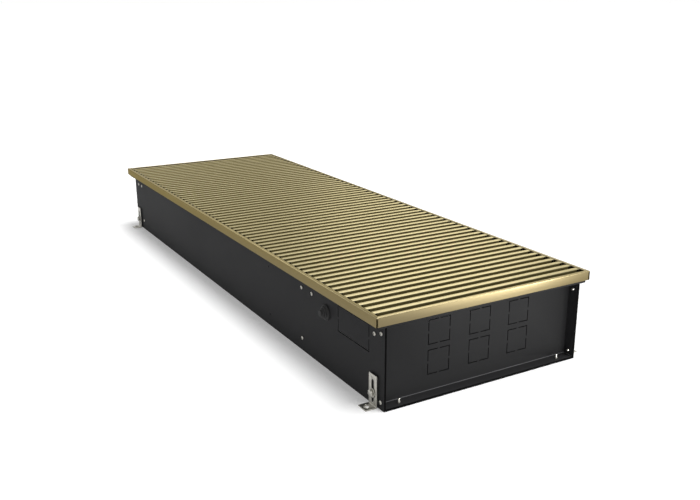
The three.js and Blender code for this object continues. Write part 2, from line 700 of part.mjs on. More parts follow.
function levelBolt(end, side) {
  const shank = (x) => circle(x, BOLT_HEIGHT, BOLT_SHANK, SMALL_SIDES);
  const washer = (x) => circle(x, BOLT_HEIGHT, WASHER, WIDE_SIDES);
  const head = washerInner + WASHER_THICKNESS;
  return carve([
    acrossWall(end, side, shank, innerY - RIVET_NUT_LENGTH - SHEET, head),
    acrossWall(end, side, washer, washerInner, head),
    acrossWall(end, side, boltHexagon, head, head + BOLT_HEAD_HEIGHT),
  ]);
}

// ---- cable grommet: a stepped rubber cone, hollow behind, closed at its tip
function grommet() {
  const flange = GROMMET_FLANGE / 2;
  const neck = GROMMET_HOLE / 2 - SEAT;
  const back = -SHEET - SEAT;
  const step = (GROMMET_REACH - SEAT) / (GROMMET_STEPS.length + 1);
  const steps = GROMMET_STEPS.flatMap((width, i) => [
    [width / 2, SEAT + step * (i + 1)], [width / 2 - GROMMET_TAPER, SEAT + step * (i + 2)],
  ]);
  const profile = [
    [0, GROMMET_REACH - SHEET], [GROMMET_TIP / 2, GROMMET_REACH - SHEET],
    [GROMMET_MOUTH / 2, back - SHEET], [GROMMET_BACK / 2, back - SHEET], [GROMMET_BACK / 2, back],
    [neck, back], [neck, SEAT], [flange, SEAT], [flange, SEAT + step],
    ...steps, [0, GROMMET_REACH],
  ];
  return turned(profile, WIDE_SIDES, [0, -1, 0]).translate(grommetX, -casingY, grommetZ);
}

// ---- connection compartment
const partitionTop = railTop;

function partition() {
  const back = partitionX - SHEET;
  const front = partitionX + PARTITION_FLANGE;
  const tubeHole = (y) => circle(y, TUBE_HEIGHT, TUBE + 2 * TUBE_CLEAR, MIDDLE_SIDES);
  return carve([
    block(back, partitionX, -plateY, plateY, floorTop, partitionTop),
    ...SIDES.map((side) => sideWall(side, back, front, floorTop, partitionTop)),
    block(back, front, -plateY, plateY, floorTop, floorTop + SHEET),
    ...rivetsThroughWalls(partitionRivets),
  ], [
    ...tubeRows.map((y) => prism('x', tubeHole(y), back - OVERCUT, front)),
    block(
      back - OVERCUT, front + OVERCUT, leadY - LEAD_NOTCH / 2, leadY + LEAD_NOTCH / 2,
      0, floorTop + SHEET + LEAD_NOTCH,
    ),
  ]);
}

const screwX = [compartmentStart + COVER_SCREW_FROM_END, compartmentEnd - COVER_SCREW_FROM_END];
const screwY = plateY - RAIL_LEG / 2;
const coverScrewPlaces = screwX.flatMap((x) => SIDES.map((side) => [x, side * screwY]));
const coverBottom = railTop + SEAT;

function coverRail(side) {
  const section = [
    [plateY, railTop - RAIL_DROP], [plateY, railTop], [plateY - RAIL_LEG, railTop],
    [plateY - RAIL_LEG, railTop - SHEET], [plateY - SHEET, railTop - SHEET],
    [plateY - SHEET, railTop - RAIL_DROP],
  ].map(([y, z]) => [side * y, z]);
  return carve([
    prism('x', section, compartmentStart, compartmentEnd),
    ...railRivets.map(([x, z]) => rivet(x, side * casingY, z, [0, side, 0])),
  ], screwX.map((x) => prism(
    'z', circle(x, side * screwY, rivetBore, SMALL_SIDES),
    railTop - SHEET - OVERCUT, railTop + OVERCUT,
  )));
}

// The cover with its captive screws, which pass the rails.
function compartmentCover() {
  const tail = SHEET + SEAT + SCREW_TAIL;
  const profile = [
    [0, -tail], [RIVET_SHANK / 2, -tail], [RIVET_SHANK / 2, COVER_SHEET],
    [RIVET_HEAD / 2, COVER_SHEET], [RIVET_HEAD / 2, COVER_SHEET + RIVET_RISE],
    [0, COVER_SHEET + RIVET_RISE],
  ];
  const sheet = prism(
    'z', rectangle(compartmentStart, compartmentEnd, -plateY, plateY),
    coverBottom, coverBottom + COVER_SHEET,
  );
  return carve([sheet, ...coverScrewPlaces.map(([x, y]) => (
    turned(profile, SMALL_SIDES, [0, 0, 1]).translate(x, y, coverBottom)
  ))]);
}

const leadEntry = [boxX - SEAT, boxY + BOX_WIDTH / 2, floorTop + LEAD_ENTRY_HEIGHT];

function terminalBox() {
  const top = floorTop + BOX_HEIGHT;
  const outer = block(boxX, boxX + BOX_LENGTH, boxY, boxY + BOX_WIDTH, floorTop, top);
  const hollow = block(
    boxX + BOX_WALL, boxX + BOX_LENGTH - BOX_WALL, boxY + BOX_WALL, boxY + BOX_WIDTH - BOX_WALL,
    floorTop + BOX_WALL, top + OVERCUT,
  );
  return carve([outer], [hollow]);
}

function terminalLid() {
  const bottom = floorTop + BOX_HEIGHT + SEAT;
  return block(boxX, boxX + BOX_LENGTH, boxY, boxY + BOX_WIDTH, bottom, bottom + BOX_WALL);
}

function terminalBlock() {
  const x = boxX + BOX_LENGTH / 2;
  const y = boxY + BOX_WIDTH / 2;
  const bottom = floorTop + BOX_WALL + SEAT;
  return block(
    x - BLOCK_LENGTH / 2, x + BLOCK_LENGTH / 2, y - BLOCK_WIDTH / 2, y + BLOCK_WIDTH / 2,
    bottom, bottom + BLOCK_HEIGHT,
  );
}

// The motor's lead: out of the motor, down to the floor, through the partition's notch and
// into the terminal box.
function motorLead() {
  const low = floorTop + SHEET + LEAD;
  const side = fanY + MOTOR / 2 * Math.cos(Math.PI / MIDDLE_SIDES) + SEAT;
  const [entryX, entryY, entryZ] = leadEntry;
  const points = [
    [fanMiddle, side, fanZ], [fanMiddle, side + LEAD / 2, fanZ], [fanMiddle, side + LEAD, fanZ],
    [fanMiddle + LEAD * 2, leadY - LEAD, low + LEAD],
    [fanMiddle + LEAD * 6, leadY, low], [(fanMiddle + partitionX) / 2, leadY, low],
    [partitionX - LEAD * 6, leadY, low], [partitionX + LEAD, leadY, low],
    [(partitionX + entryX) / 2, (leadY + entryY) / 2, low + LEAD / 2],
    [entryX - LEAD * 3, entryY, entryZ], [entryX - LEAD * 2, entryY, entryZ],
    [entryX - LEAD, entryY, entryZ], [entryX, entryY, entryZ],
  ].map((point) => new THREE.Vector3(...point));
  return tubeAlong(new THREE.CatmullRomCurve3(points), LEAD, SMALL_SIDES, LEAD_SIDES);
}

// ---- heat exchanger
const finY = [tubeRows[0] - FIN_MARGIN_Y, tubeRows[1] + FIN_MARGIN_Y];
const finZ = [TUBE_HEIGHT - FIN_MARGIN_Z, upperTubeZ + FIN_MARGIN_Z];
const tubePlaces = tubeRows.flatMap((y) => [[y, TUBE_HEIGHT], [y, upperTubeZ]]);
const tubeBore = boreFor(TUBE, SMALL_SIDES);

// The fins' collars meet, and so make a sleeve on each tube.
function fins() {
  const pitch = (lastFinX - firstFinX) / (FIN_COUNT - 1);
  const plates = indexes(0, FIN_COUNT).map((i) => {
    const x = firstFinX + i * pitch;
    return prism('x', rectangle(...finY, ...finZ), x, x + FIN_THICKNESS);
  });
  const along = [firstFinX, lastFinX + FIN_THICKNESS];
  const collars = tubePlaces.map(([y, z]) => (
    prism('x', circle(y, z, tubeBore + 2 * COLLAR_WALL, SMALL_SIDES), ...along)
  ));
  const bores = tubePlaces.map(([y, z]) => (
    prism('x', circle(y, z, tubeBore, SMALL_SIDES), along[0] - OVERCUT, along[1] + OVERCUT)
  ));
  return carve([...plates, ...collars], bores);
}

// A half-circle bend from `start`, first towards `ahead`, ending at the point `over` further.
function bend(start, ahead, over) {
  const across = new THREE.Vector3(...over);
  const middle = new THREE.Vector3(...start).addScaledVector(across, 0.5);
  const toStart = across.clone().normalize().negate();
  const radius = across.length() / 2;
  const points = indexes(0, MIDDLE_SIDES + 1).map((i) => {
    const angle = Math.PI * i / MIDDLE_SIDES;
    return middle.clone().addScaledVector(toStart, radius * Math.cos(angle))
      .addScaledVector(new THREE.Vector3(...ahead), radius * Math.sin(angle));
  });
  return tubeAlong(new THREE.CatmullRomCurve3(points), TUBE, SMALL_SIDES, BEND_SIDES);
}

const flowBore = (y) => circle(y, TUBE_HEIGHT, TUBE - 2 * TUBE_WALL, SMALL_SIDES);

// One serpentine: lower front tube, up and back, across, up and down again, lower back tube.
function exchangerTubes() {
  return carve([
    ...tubePlaces.map(([y, z]) => (
      prism('x', circle(y, z, TUBE, SMALL_SIDES), tubeFarX, z === TUBE_HEIGHT ? unionX : tubeNearX)
    )),
    ...tubeRows.map((y) => (
      bend([tubeFarX + BEND_LAP, y, TUBE_HEIGHT], [-1, 0, 0], [0, 0, TUBE_SPACING_Z])
    )),
    bend([tubeNearX - BEND_LAP, tubeRows[0], upperTubeZ], [1, 0, 0], [0, TUBE_SPACING_Y, 0]),
  ], tubeRows.map((y) => prism('x', flowBore(y), unionX - TUBE, unionX + OVERCUT)));
}

function exchangerBracket(x, way) {
  const start = way > 0 ? x : x - BRACKET_FOOT + BRACKET_PLATE;
  return carve([
    prism('x', rectangle(...finY, floorTop, finZ[1]), x, x + BRACKET_PLATE),
    block(start, start + BRACKET_FOOT, ...finY, floorTop, floorTop + BRACKET_PLATE),
  ], tubePlaces.map(([y, z]) => (
    prism('x', circle(y, z, tubeBore, SMALL_SIDES), x - BRACKET_FOOT, x + BRACKET_FOOT)
  )));
}

// A union: the nut round the tube's end and the threaded nipple before it.
function union(y) {
  const start = unionX - UNION_NUT_LENGTH;
  const end = unionX + UNION_NIPPLE_LENGTH;
  const socket = circle(y, TUBE_HEIGHT, tubeBore, SMALL_SIDES);
  return carve([
    prism('x', circle(y, TUBE_HEIGHT, UNION_NUT, HEXAGON), start, unionX + SHEET),
    prism('x', circle(y, TUBE_HEIGHT, UNION_NIPPLE, MIDDLE_SIDES), unionX, end),
  ], [
    prism('x', socket, start - OVERCUT, unionX + SEAT),
    prism('x', flowBore(y), unionX - OVERCUT, end + OVERCUT),
  ]);
}

function bleedValve() {
  const outline = circle(valveX, exchangerY, VALVE, HEXAGON);
  const socket = circle(valveX, exchangerY, BLEED_SCREW + 2 * SEAT, SMALL_SIDES);
  const top = valveBottom + VALVE_HEIGHT;
  return carve([prism('z', outline, valveBottom, top)], [
    prism('z', socket, top - BLEED_SCREW_HEIGHT / 2, top + OVERCUT),
  ]);
}

function bleedScrew() {
  const top = valveBottom + VALVE_HEIGHT;
  const bottom = top - BLEED_SCREW_HEIGHT / 2 + SEAT;
  const head = bottom + BLEED_SCREW_HEIGHT;
  const outline = circle(valveX, exchangerY, BLEED_SCREW, SMALL_SIDES);
  const slotHalf = BLEED_SLOT / 2;
  return carve([prism('z', outline, bottom, head)], [block(
    valveX - BLEED_SCREW, valveX + BLEED_SCREW, exchangerY - slotHalf, exchangerY + slotHalf,
    head - BLEED_SLOT_DEPTH, head + OVERCUT,
  )]);
}

// ---- fan
const shaftBore = circle(fanY, fanZ, boreFor(SHAFT, SMALL_SIDES), SMALL_SIDES);

function fanWheel(from, to) {
  const middle = (from + to) / 2;
  const discStarts = [from, middle - DISC_THICKNESS / 2, to - DISC_THICKNESS];
  const discs = discStarts.map((x) => (
    prism('x', circle(fanY, fanZ, WHEEL, 2 * BLADES), x, x + DISC_THICKNESS, [shaftBore])
  ));
  const outer = WHEEL / 2 - BLADE_FROM_RIM;
  const blades = indexes(0, BLADES).map((i) => {
    const blade = block(
      from + DISC_THICKNESS / 2, to - DISC_THICKNESS / 2, -BLADE_THICKNESS / 2,
      BLADE_THICKNESS / 2, outer - BLADE_DEPTH, outer,
    );
    return blade.rotateX(2 * Math.PI * i / BLADES).translate(0, fanY, fanZ);
  });
  return carve([...discs, ...blades]);
}

function fanShaft() {
  const reach = WHEEL_END_GAP + BEARING_LENGTH;
  return prism('x', circle(fanY, fanZ, SHAFT, SMALL_SIDES), fanStart - reach, fanEnd + reach);
}

function fanMotor() {
  return prism('x', circle(fanY, fanZ, MOTOR, MIDDLE_SIDES), motorStart, motorEnd, [shaftBore]);
}

// A saddle that stands on the floor and follows the motor's lower half.
function motorCradle() {
  const corners = circle(fanY, fanZ, boreFor(MOTOR, MIDDLE_SIDES), MIDDLE_SIDES);
  const lowest = MIDDLE_SIDES * 3 / 4;
  const saddle = corners.slice(lowest - 2, lowest + 2);
  const half = MOTOR / 2;
  const shoulder = saddle[0][1];
  const outline = [
    [fanY - half, shoulder], ...saddle, [fanY + half, shoulder],
    [fanY + half, floorTop], [fanY - half, floorTop],
  ];
  return prism('x', outline, fanMiddle - CRADLE_LENGTH / 2, fanMiddle + CRADLE_LENGTH / 2);
}

// A bearing plate that stands on the floor, with its bush.
function bearing(x) {
  const half = BEARING_PLATE_WIDTH / 2;
  const middle = x + BEARING_PLATE / 2;
  const bush = [middle - BEARING_LENGTH / 2, middle + BEARING_LENGTH / 2];
  return carve([
    prism('x', rectangle(fanY - half, fanY + half, floorTop, fanZ + half), x, x + BEARING_PLATE),
    prism('x', circle(fanY, fanZ, BEARING_HOUSING, MIDDLE_SIDES), ...bush),
  ], [prism('x', shaftBore, bush[0] - OVERCUT, bush[1] + OVERCUT)]);
}

// A scroll housing: a curved sheet behind and under its wheel, running out towards the fins.
function scrollHousing(from, to) {
  const top = THREE.MathUtils.degToRad(110); // turned from +Y, to straight below the shaft
  const bottom = THREE.MathUtils.degToRad(270);
  const arcPoints = (radius) => indexes(0, SCROLL_SIDES + 1).map((i) => {
    const angle = top + (bottom - top) * i / SCROLL_SIDES;
    return [fanY + radius * Math.cos(angle), fanZ + radius * Math.sin(angle)];
  });
  const outer = arcPoints(scrollInner + SCROLL_SHEET);
  const inner = arcPoints(scrollInner).reverse();
  const tailY = fanY + SCROLL_TAIL;
  const tail = [[tailY, outer.at(-1)[1]], [tailY, inner[0][1]]];
  return prism('x', [...outer, ...tail, ...inner], from, to);
}

// ---- the assembly
const cornerName = (end, side) => `${end > 0 ? 'near' : 'far'}_${side > 0 ? 'right' : 'left'}`;

place('casing', casing(), BLACK_COAT);
place('end_plate_near', nearEndPlate(), BLACK_COAT);
place('end_plate_far', farEndPlate(), BLACK_COAT);
place('frame_side_left', frameSide(-1), BRASS_ANODISED);
place('frame_side_right', frameSide(1), BRASS_ANODISED);
place('frame_end_near', frameEnd(1), BRASS_ANODISED);
place('frame_end_far', frameEnd(-1), BRASS_ANODISED);
place('seal_strip_left', sealStrip(-1), RUBBER);
place('seal_strip_right', sealStrip(1), RUBBER);
place('grille_panel', slatsOnWire(ROLLING_SLATS, slatCount), SLAT_ANODISED);
indexes(1, ROLLING_SLATS + 1).forEach((step) => {
  const index = ROLLING_SLATS - step;
  place(`roll_slat_${step}`, slatsOnWire(index, index + 1), SLAT_ANODISED);
});
CORNERS.forEach(([end, side]) => {
  const corner = cornerName(end, side);
  place(`frame_key_${corner}`, cornerKey(end, side), ZINC);
  place(`level_bracket_${corner}`, levelBracket(end, side), ZINC);
  place(`level_pad_${corner}`, levelPad(end, side), RUBBER);
  place(`level_bolt_${corner}`, levelBolt(end, side), ZINC);
});
place('cable_grommet', grommet(), RUBBER);
place('partition', partition(), GALVANISED);
place('cover_rail_left', coverRail(-1), GALVANISED);
place('cover_rail_right', coverRail(1), GALVANISED);
place('compartment_cover', compartmentCover(), BLACK_COAT);
place('terminal_box', terminalBox(), GREY_PLASTIC);
place('terminal_lid', terminalLid(), GREY_PLASTIC);
place('terminal_block', terminalBlock(), BLACK_PLASTIC);
place('motor_lead', motorLead(), BLACK_PLASTIC);
place('exchanger_fins', fins(), ALUMINIUM);
place('exchanger_tubes', exchangerTubes(), COPPER);
place('exchanger_bracket_far', exchangerBracket(farBracketX, -1), GALVANISED);
place('exchanger_bracket_near', exchangerBracket(nearBracketX, 1), GALVANISED);
place('union_left', union(tubeRows[0]), BRASS);
place('union_right', union(tubeRows[1]), BRASS);
place('bleed_valve', bleedValve(), BRASS);
place('bleed_screw', bleedScrew(), BRASS);
place('fan_wheel_far', fanWheel(...wheelSpans[0]), BLACK_PLASTIC);
place('fan_wheel_near', fanWheel(...wheelSpans[1]), BLACK_PLASTIC);
place('fan_shaft', fanShaft(), SPRING_STEEL);
place('fan_motor', fanMotor(), GALVANISED);
place('motor_cradle', motorCradle(), GALVANISED);
place('fan_bearing_far', bearing(bearingPlates[0]), GALVANISED);
place('fan_bearing_near', bearing(bearingPlates[1]), GALVANISED);
place('fan_housing_far', scrollHousing(...wheelSpans[0]), GALVANISED);
place('fan_housing_near', scrollHousing(...wheelSpans[1]), GALVANISED);

export default heater;
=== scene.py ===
import math

import bmesh
import bpy
from bpy.props import FloatProperty, FloatVectorProperty, IntProperty, PointerProperty
from mathutils import Matrix, Vector


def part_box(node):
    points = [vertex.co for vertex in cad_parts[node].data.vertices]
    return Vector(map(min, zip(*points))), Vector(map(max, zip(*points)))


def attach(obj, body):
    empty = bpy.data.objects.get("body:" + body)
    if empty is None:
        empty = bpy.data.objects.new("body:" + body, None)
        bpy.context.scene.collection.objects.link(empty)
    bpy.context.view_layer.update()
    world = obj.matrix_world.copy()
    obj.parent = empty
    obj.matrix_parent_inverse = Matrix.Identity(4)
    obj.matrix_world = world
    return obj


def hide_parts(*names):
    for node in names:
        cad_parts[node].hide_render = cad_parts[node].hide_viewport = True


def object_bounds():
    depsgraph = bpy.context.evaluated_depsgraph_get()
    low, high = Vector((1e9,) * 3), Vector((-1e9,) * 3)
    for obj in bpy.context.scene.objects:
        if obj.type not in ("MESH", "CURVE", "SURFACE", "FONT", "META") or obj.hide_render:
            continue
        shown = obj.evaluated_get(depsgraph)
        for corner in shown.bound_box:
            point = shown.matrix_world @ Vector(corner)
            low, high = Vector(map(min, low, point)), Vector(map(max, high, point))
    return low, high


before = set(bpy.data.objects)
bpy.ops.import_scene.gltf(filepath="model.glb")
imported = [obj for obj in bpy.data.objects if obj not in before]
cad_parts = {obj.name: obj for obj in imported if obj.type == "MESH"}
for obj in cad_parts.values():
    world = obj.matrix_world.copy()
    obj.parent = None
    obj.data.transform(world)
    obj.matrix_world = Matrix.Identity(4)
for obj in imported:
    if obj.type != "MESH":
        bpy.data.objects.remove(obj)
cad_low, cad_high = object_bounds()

bl_info = {
    "name": "Trench Heater",
    "version": (1, 0, 0),
    "blender": (4, 5, 0),
    "location": "View3D > Sidebar > Trench Heater",
    "description": "Dresses the solids of a trench heater with finished pieces",
    "category": "Object",
}

MM = 0.001
AXES = {"x": 0, "y": 1, "z": 2}
SIDES = {"left": -1, "right": 1}
ENDS = {"far": -1, "near": 1}
CORNERS = [(end, side) for end in ENDS for side in SIDES]
HEADS_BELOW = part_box("casing")[1].z - 10 * MM   # rivet heads on the walls all lie below this
PAD_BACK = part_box("level_pad_near_right")[0].y   # the pads' side towards the casing's wall
WALL = PAD_BACK - 0.3 * MM   # outside of the casing's walls
SHEET_FACES = 3 * MM ** 2   # faces of folded sheet that are larger than this are shaded flat
SLAT_FACES = 600 * MM ** 2   # the same for a slat
WIRE_FROM_END = 75.7 * MM   # spring wires, from the slats' ends and from their tops
WIRE_BELOW_TOP = 7.2 * MM
FOOT_HOLE_IN = 8.5 * MM   # hole in a bracket's foot, from the foot's edge


def srgb(red, green, blue):
    """A screen colour, 0 to 255, as the linear colour that a shader takes."""
    def linear(value):
        share = value / 255
        return share / 12.92 if share <= 0.04045 else ((share + 0.055) / 1.055) ** 2.4
    return (linear(red), linear(green), linear(blue), 1.0)


# ---- sizes and colours that a user may change

def length(label, text, value, **limits):
    return FloatProperty(
        name=label, description=text, default=value, unit="LENGTH", precision=5, **limits,
    )


def number(label, text, value, least):
    return IntProperty(name=label, description=text, default=value, min=least)


def tint(label, text, colour):
    return FloatVectorProperty(
        name=label, description=text, default=colour, subtype="COLOR", size=4, min=0, max=1,
    )


class HeaterGrilleSizes(bpy.types.PropertyGroup):
    pitch: length("Pitch", "Distance from one slat to the next", 19.3 * MM)
    top: length("Top width", "Width of a slat's top", 9 * MM)
    foot: length("Foot width", "Width of a slat's lower edge", 4 * MM)
    round: length("Top rounding", "Rounding of the slat's upper edges", 0.4 * MM)
    foot_round: length("Foot rounding", "Rounding of the slat's lower edges", 0.7 * MM)
    wire: length("Spring wire", "Diameter of the wires that the slats are threaded on", 2.4 * MM)
    sleeve: length("Sleeve", "Diameter of the spacer sleeves on the wires", 6 * MM)


class HeaterInsideSizes(bpy.types.PropertyGroup):
    fin_pitch: length("Fin pitch", "Distance from one exchanger fin to the next", 4 * MM)
    fin_sheet: length("Fin sheet", "Thickness of a fin", 0.3 * MM)
    fin_wave: length("Fin wave", "How far a fin's folds stand out of its plane", 0.9 * MM)
    fin_folds: number("Fin folds", "Folds across the width of a fin", 10, 1)
    tube: length("Tube", "Outer diameter of the exchanger's tubes", 15 * MM)
    blades: number("Blades", "Blades of each fan wheel", 30, 6)
    blade_depth: length("Blade depth", "How far a blade reaches in from the wheel's rim", 7 * MM)
    wheel_discs: number("Discs", "Stiffening discs of each fan wheel", 6, 2)


class HeaterFastenerSizes(bpy.types.PropertyGroup):
    head: length("Rivet head", "Diameter of a blind rivet's head", 6.6 * MM)
    rise: length("Rivet rise", "Height of a blind rivet's head", 1.6 * MM)
    mandrel: length("Mandrel hole", "Diameter of the hole in a rivet's head", 2.7 * MM)
    grip: length("Rivet grip", "Thickness of the sheets that a rivet holds", 3.4 * MM)
    tail: length("Rivet tail", "How far a rivet's tail stands out of the sheets", 3.5 * MM)
    hexagon: length("Bolt head", "Width of the levelling bolt across its corners", 11.5 * MM)
    washer: length("Washer", "Diameter of the levelling bolt's washer", 15 * MM)
    edge: length("Sheet edges", "Rounding of cut sheet edges", 0.3 * MM)
    fold: length("Fold", "Inside rounding at the foot of an end plate", 1.8 * MM)
    bend: length("Bracket bend", "Outside radius of a bracket's bend", 2.8 * MM)


class HeaterColours(bpy.types.PropertyGroup):
    coat: tint("Coat", "Powder coat of casing and plates", srgb(42, 42, 43))
    # Painted highlight: the frame's top colour is a paler copy of the faces' anodised colour.
    frame_top_highlight: tint("Frame top", "Anodised colour of the frame's top", srgb(184, 172, 138))
    frame_face: tint("Frame face", "Anodised colour of the frame's faces", srgb(122, 111, 83))
    # Painted shade: a near-black colour for the frame's walls beside the slats.
    frame_inside_shade: tint("Frame inside", "The frame's walls beside the slats", srgb(44, 38, 24))
    # Painted highlight and shade: the slats' top colour is paler and their flank colour darker,
    # copies of one anodised colour.
    slats: tint("Slats", "Anodised colour of the slats' tops", srgb(181, 172, 141))
    slat_flanks_shade: tint("Slat flanks", "Anodised colour of the slats' flanks", srgb(152, 139, 91))
    zinc: tint("Zinc", "Zinc plating of brackets, bolts and rivets", srgb(170, 168, 161))
    rubber: tint("Rubber", "Grommet, pads and seal strips", srgb(13, 13, 14))
    copper: tint("Copper", "Exchanger tubes", srgb(196, 122, 84))
    fins: tint("Fins", "Exchanger fins", srgb(196, 199, 202))
    brass: tint("Brass", "Union fittings and bleed valve", srgb(196, 166, 92))
    galvanised: tint("Galvanised", "Bare galvanised sheet inside", srgb(166, 170, 172))


class HeaterStageSettings(bpy.types.PropertyGroup):
    azimuth: FloatProperty(
        name="Azimuth", description="Camera's turn round the heater, 0 looks along +Y",
        default=math.radians(59.6275), subtype="ANGLE",
    )
    elevation: FloatProperty(
        name="Elevation", description="Camera's height above the horizon",
        default=math.radians(17.0426), subtype="ANGLE",
    )
    lens: FloatProperty(
        name="Lens", description="Focal length on a sensor 36 mm wide, in millimetres",
        default=42.621, min=10,
    )
    camera: FloatVectorProperty(
        name="Camera", description="Where the camera stands",
        default=(1.49597, -0.76999, 0.57301), subtype="XYZ", unit="LENGTH",
    )
    floor: tint("Floor", "Colour of the floor", (0.9, 0.9, 0.9, 1))


def settings():
    return bpy.context.scene.heater


class HeaterSettings(bpy.types.PropertyGroup):
    grille: PointerProperty(type=HeaterGrilleSizes, name="Grille")
    inside: PointerProperty(type=HeaterInsideSizes, name="Inside")
    fasteners: PointerProperty(type=HeaterFastenerSizes, name="Fasteners")
    colours: PointerProperty(type=HeaterColours, name="Colours")
    stage: PointerProperty(type=HeaterStageSettings, name="Stage")


# ---- shader nodes

class Value:
    """A node's output, on which + - * and abs() add Math nodes."""

    def __init__(self, finish, socket):
        self.finish = finish
        self.socket = socket

    def maths(self, operation, first, second):
        return self.finish.node("ShaderNodeMath", {"operation": operation}, {0: first, 1: second})

    def __add__(self, other):
        return self.maths("ADD", self, other)

    def __sub__(self, other):
        return self.maths("SUBTRACT", self, other)

    def __rsub__(self, other):
        return self.maths("SUBTRACT", other, self)

    def __mul__(self, other):
        return self.maths("MULTIPLY", self, other)

    def __abs__(self):
        return self.maths("ABSOLUTE", self, 0.0)

    __radd__ = __add__
    __rmul__ = __mul__


class Finish:
    """A node material under construction."""

    def __init__(self, name):
        self.material = bpy.data.materials.new(name)
        self.material.use_nodes = True
        self.tree = self.material.node_tree
        self.tree.nodes.clear()

    def node(self, kind, options=None, inputs=None, out=0):
        """Adds a node: first its options, then its sockets' values or links."""
        made = self.tree.nodes.new(kind)
        for name, option in (options or {}).items():
            if name == "stops":
                self.set_stops(made.color_ramp, option)
            else:
                setattr(made, name, option)
        for key, given in (inputs or {}).items():
            if isinstance(given, Value):
                self.tree.links.new(given.socket, made.inputs[key])
            else:
                made.inputs[key].default_value = given
        return Value(self, made.outputs[out]) if made.outputs else None

    @staticmethod
    def set_stops(ramp, stops):
        while len(ramp.elements) < len(stops):
            ramp.elements.new(1)
        for element, (position, grey) in zip(ramp.elements, stops):
            element.position = position
            element.color = (grey, grey, grey, 1)

    def place(self, scale):
        """Object coordinates, scaled along each axis."""
        where = self.node("ShaderNodeTexCoord", out="Object")
        return self.node("ShaderNodeMapping", inputs={"Vector": where, "Scale": scale})

    def span(self, axis, start, end):
        """0 to 1 as the distance from the heater's middle along an axis goes from start to end."""
        where = self.node("ShaderNodeTexCoord", out="Object")
        along = self.node("ShaderNodeSeparateXYZ", inputs={0: where}, out=axis.upper())
        return self.node(
            "ShaderNodeMapRange", inputs={"Value": abs(along), "From Min": start, "From Max": end},
        )

    def band(self, axis, low, high):
        """1 where the distance from the heater's middle along an axis lies in a range, else 0."""
        edge = 0.06 * MM
        return self.span(axis, low, low + edge) * self.span(axis, high, high - edge)

    def noise(self, scale, detail=2.0, roughness=0.5):
        return self.node(
            "ShaderNodeTexNoise", inputs={
                "Vector": self.place(scale), "Scale": 1.0, "Detail": detail,
                "Roughness": roughness,
            },
        )

    def cells(self, scale):
        """Random tone of each cell of a crystal-like pattern."""
        colour = self.node(
            "ShaderNodeTexVoronoi", inputs={"Vector": self.place(scale), "Scale": 1.0},
            out="Color",
        )
        return self.node("ShaderNodeSeparateColor", inputs={0: colour})

    def ramp(self, factor, *stops):
        return self.node("ShaderNodeValToRGB", {"stops": stops}, {"Fac": factor})

    def blend(self, factor, first, second):
        """A colour between two colours."""
        return self.node(
            "ShaderNodeMix", {"data_type": "RGBA", "clamp_factor": True},
            {0: factor, 6: first, 7: second}, out=2,
        )

    def bump(self, height, distance, strength=1.0):
        return self.node(
            "ShaderNodeBump", inputs={
                "Height": height, "Distance": distance, "Strength": strength,
            },
        )

    def shaded(self, **sockets):
        """Ends the material in a Principled shader and returns it."""
        names = {name.replace(" ", "_").lower(): name for name in (
            "Base Color", "Metallic", "Roughness", "Normal", "Specular IOR Level",
            "Specular Tint",
        )}
        shader = self.node(
            "ShaderNodeBsdfPrincipled", inputs={names[key]: v for key, v in sockets.items()},
        )
        self.node("ShaderNodeOutputMaterial", inputs={"Surface": shader})
        return self.material


def toned(colour, share):
    """A colour made darker or lighter by a factor."""
    return tuple(min(1, part * share) for part in colour[:3]) + (1.0,)


def drawn_metal(name, along, top_at, top, flanks, inside=None, sheen=1.0, ends=None):
    """Anodised profile with drawing lines along one axis: a paler top, which is painted highlight,
    and darker flanks, which are painted shade.

    `inside` holds the axis, the distance and the colour of walls that face the slats, which is
    painted shade, `sheen` is how metallic the flanks look, and `ends` holds from where to where
    along a profile the flanks are made nearly black, which is painted shade.
    """
    finish = Finish(name)
    stretch = [1400.0, 1400.0, 1400.0]
    stretch[AXES[along]] = 9.0
    lines = finish.noise(stretch, detail=3)
    clouds = finish.noise((7, 7, 7), detail=3)
    tone = 0.55 * lines + 0.45 * clouds

    def varied(colour):
        return finish.blend(tone, toned(colour, 0.9), toned(colour, 1.08))

    # Painted shade: the flanks get the darker colour.
    shaded_flanks = varied(flanks)
    # Painted shade: walls that face the slats get a near-black colour.
    if inside:
        axis, distance, wall_shade = inside
        shaded_flanks = finish.blend(
            finish.span(axis, distance, distance + 0.5 * MM), wall_shade, shaded_flanks,
        )
    # Painted shade: the flanks near a profile's ends are made nearly black.
    if ends:
        shaded_flanks = finish.blend(finish.band(along, *ends), shaded_flanks, toned(flanks, 0.03))
    # Painted highlight: the top face gets the paler top colour.
    painted_top_highlight = finish.span("z", top_at - 0.2 * MM, top_at - 0.05 * MM)
    return finish.shaded(
        base_color=finish.blend(painted_top_highlight, shaded_flanks, varied(top)),
        metallic=sheen + (1.0 - sheen) * painted_top_highlight,
        roughness=0.31 + 0.1 * lines,
        normal=finish.bump(lines, 0.004 * MM),
        specular_tint=(0.66, 0.6, 0.42, 1),
    )


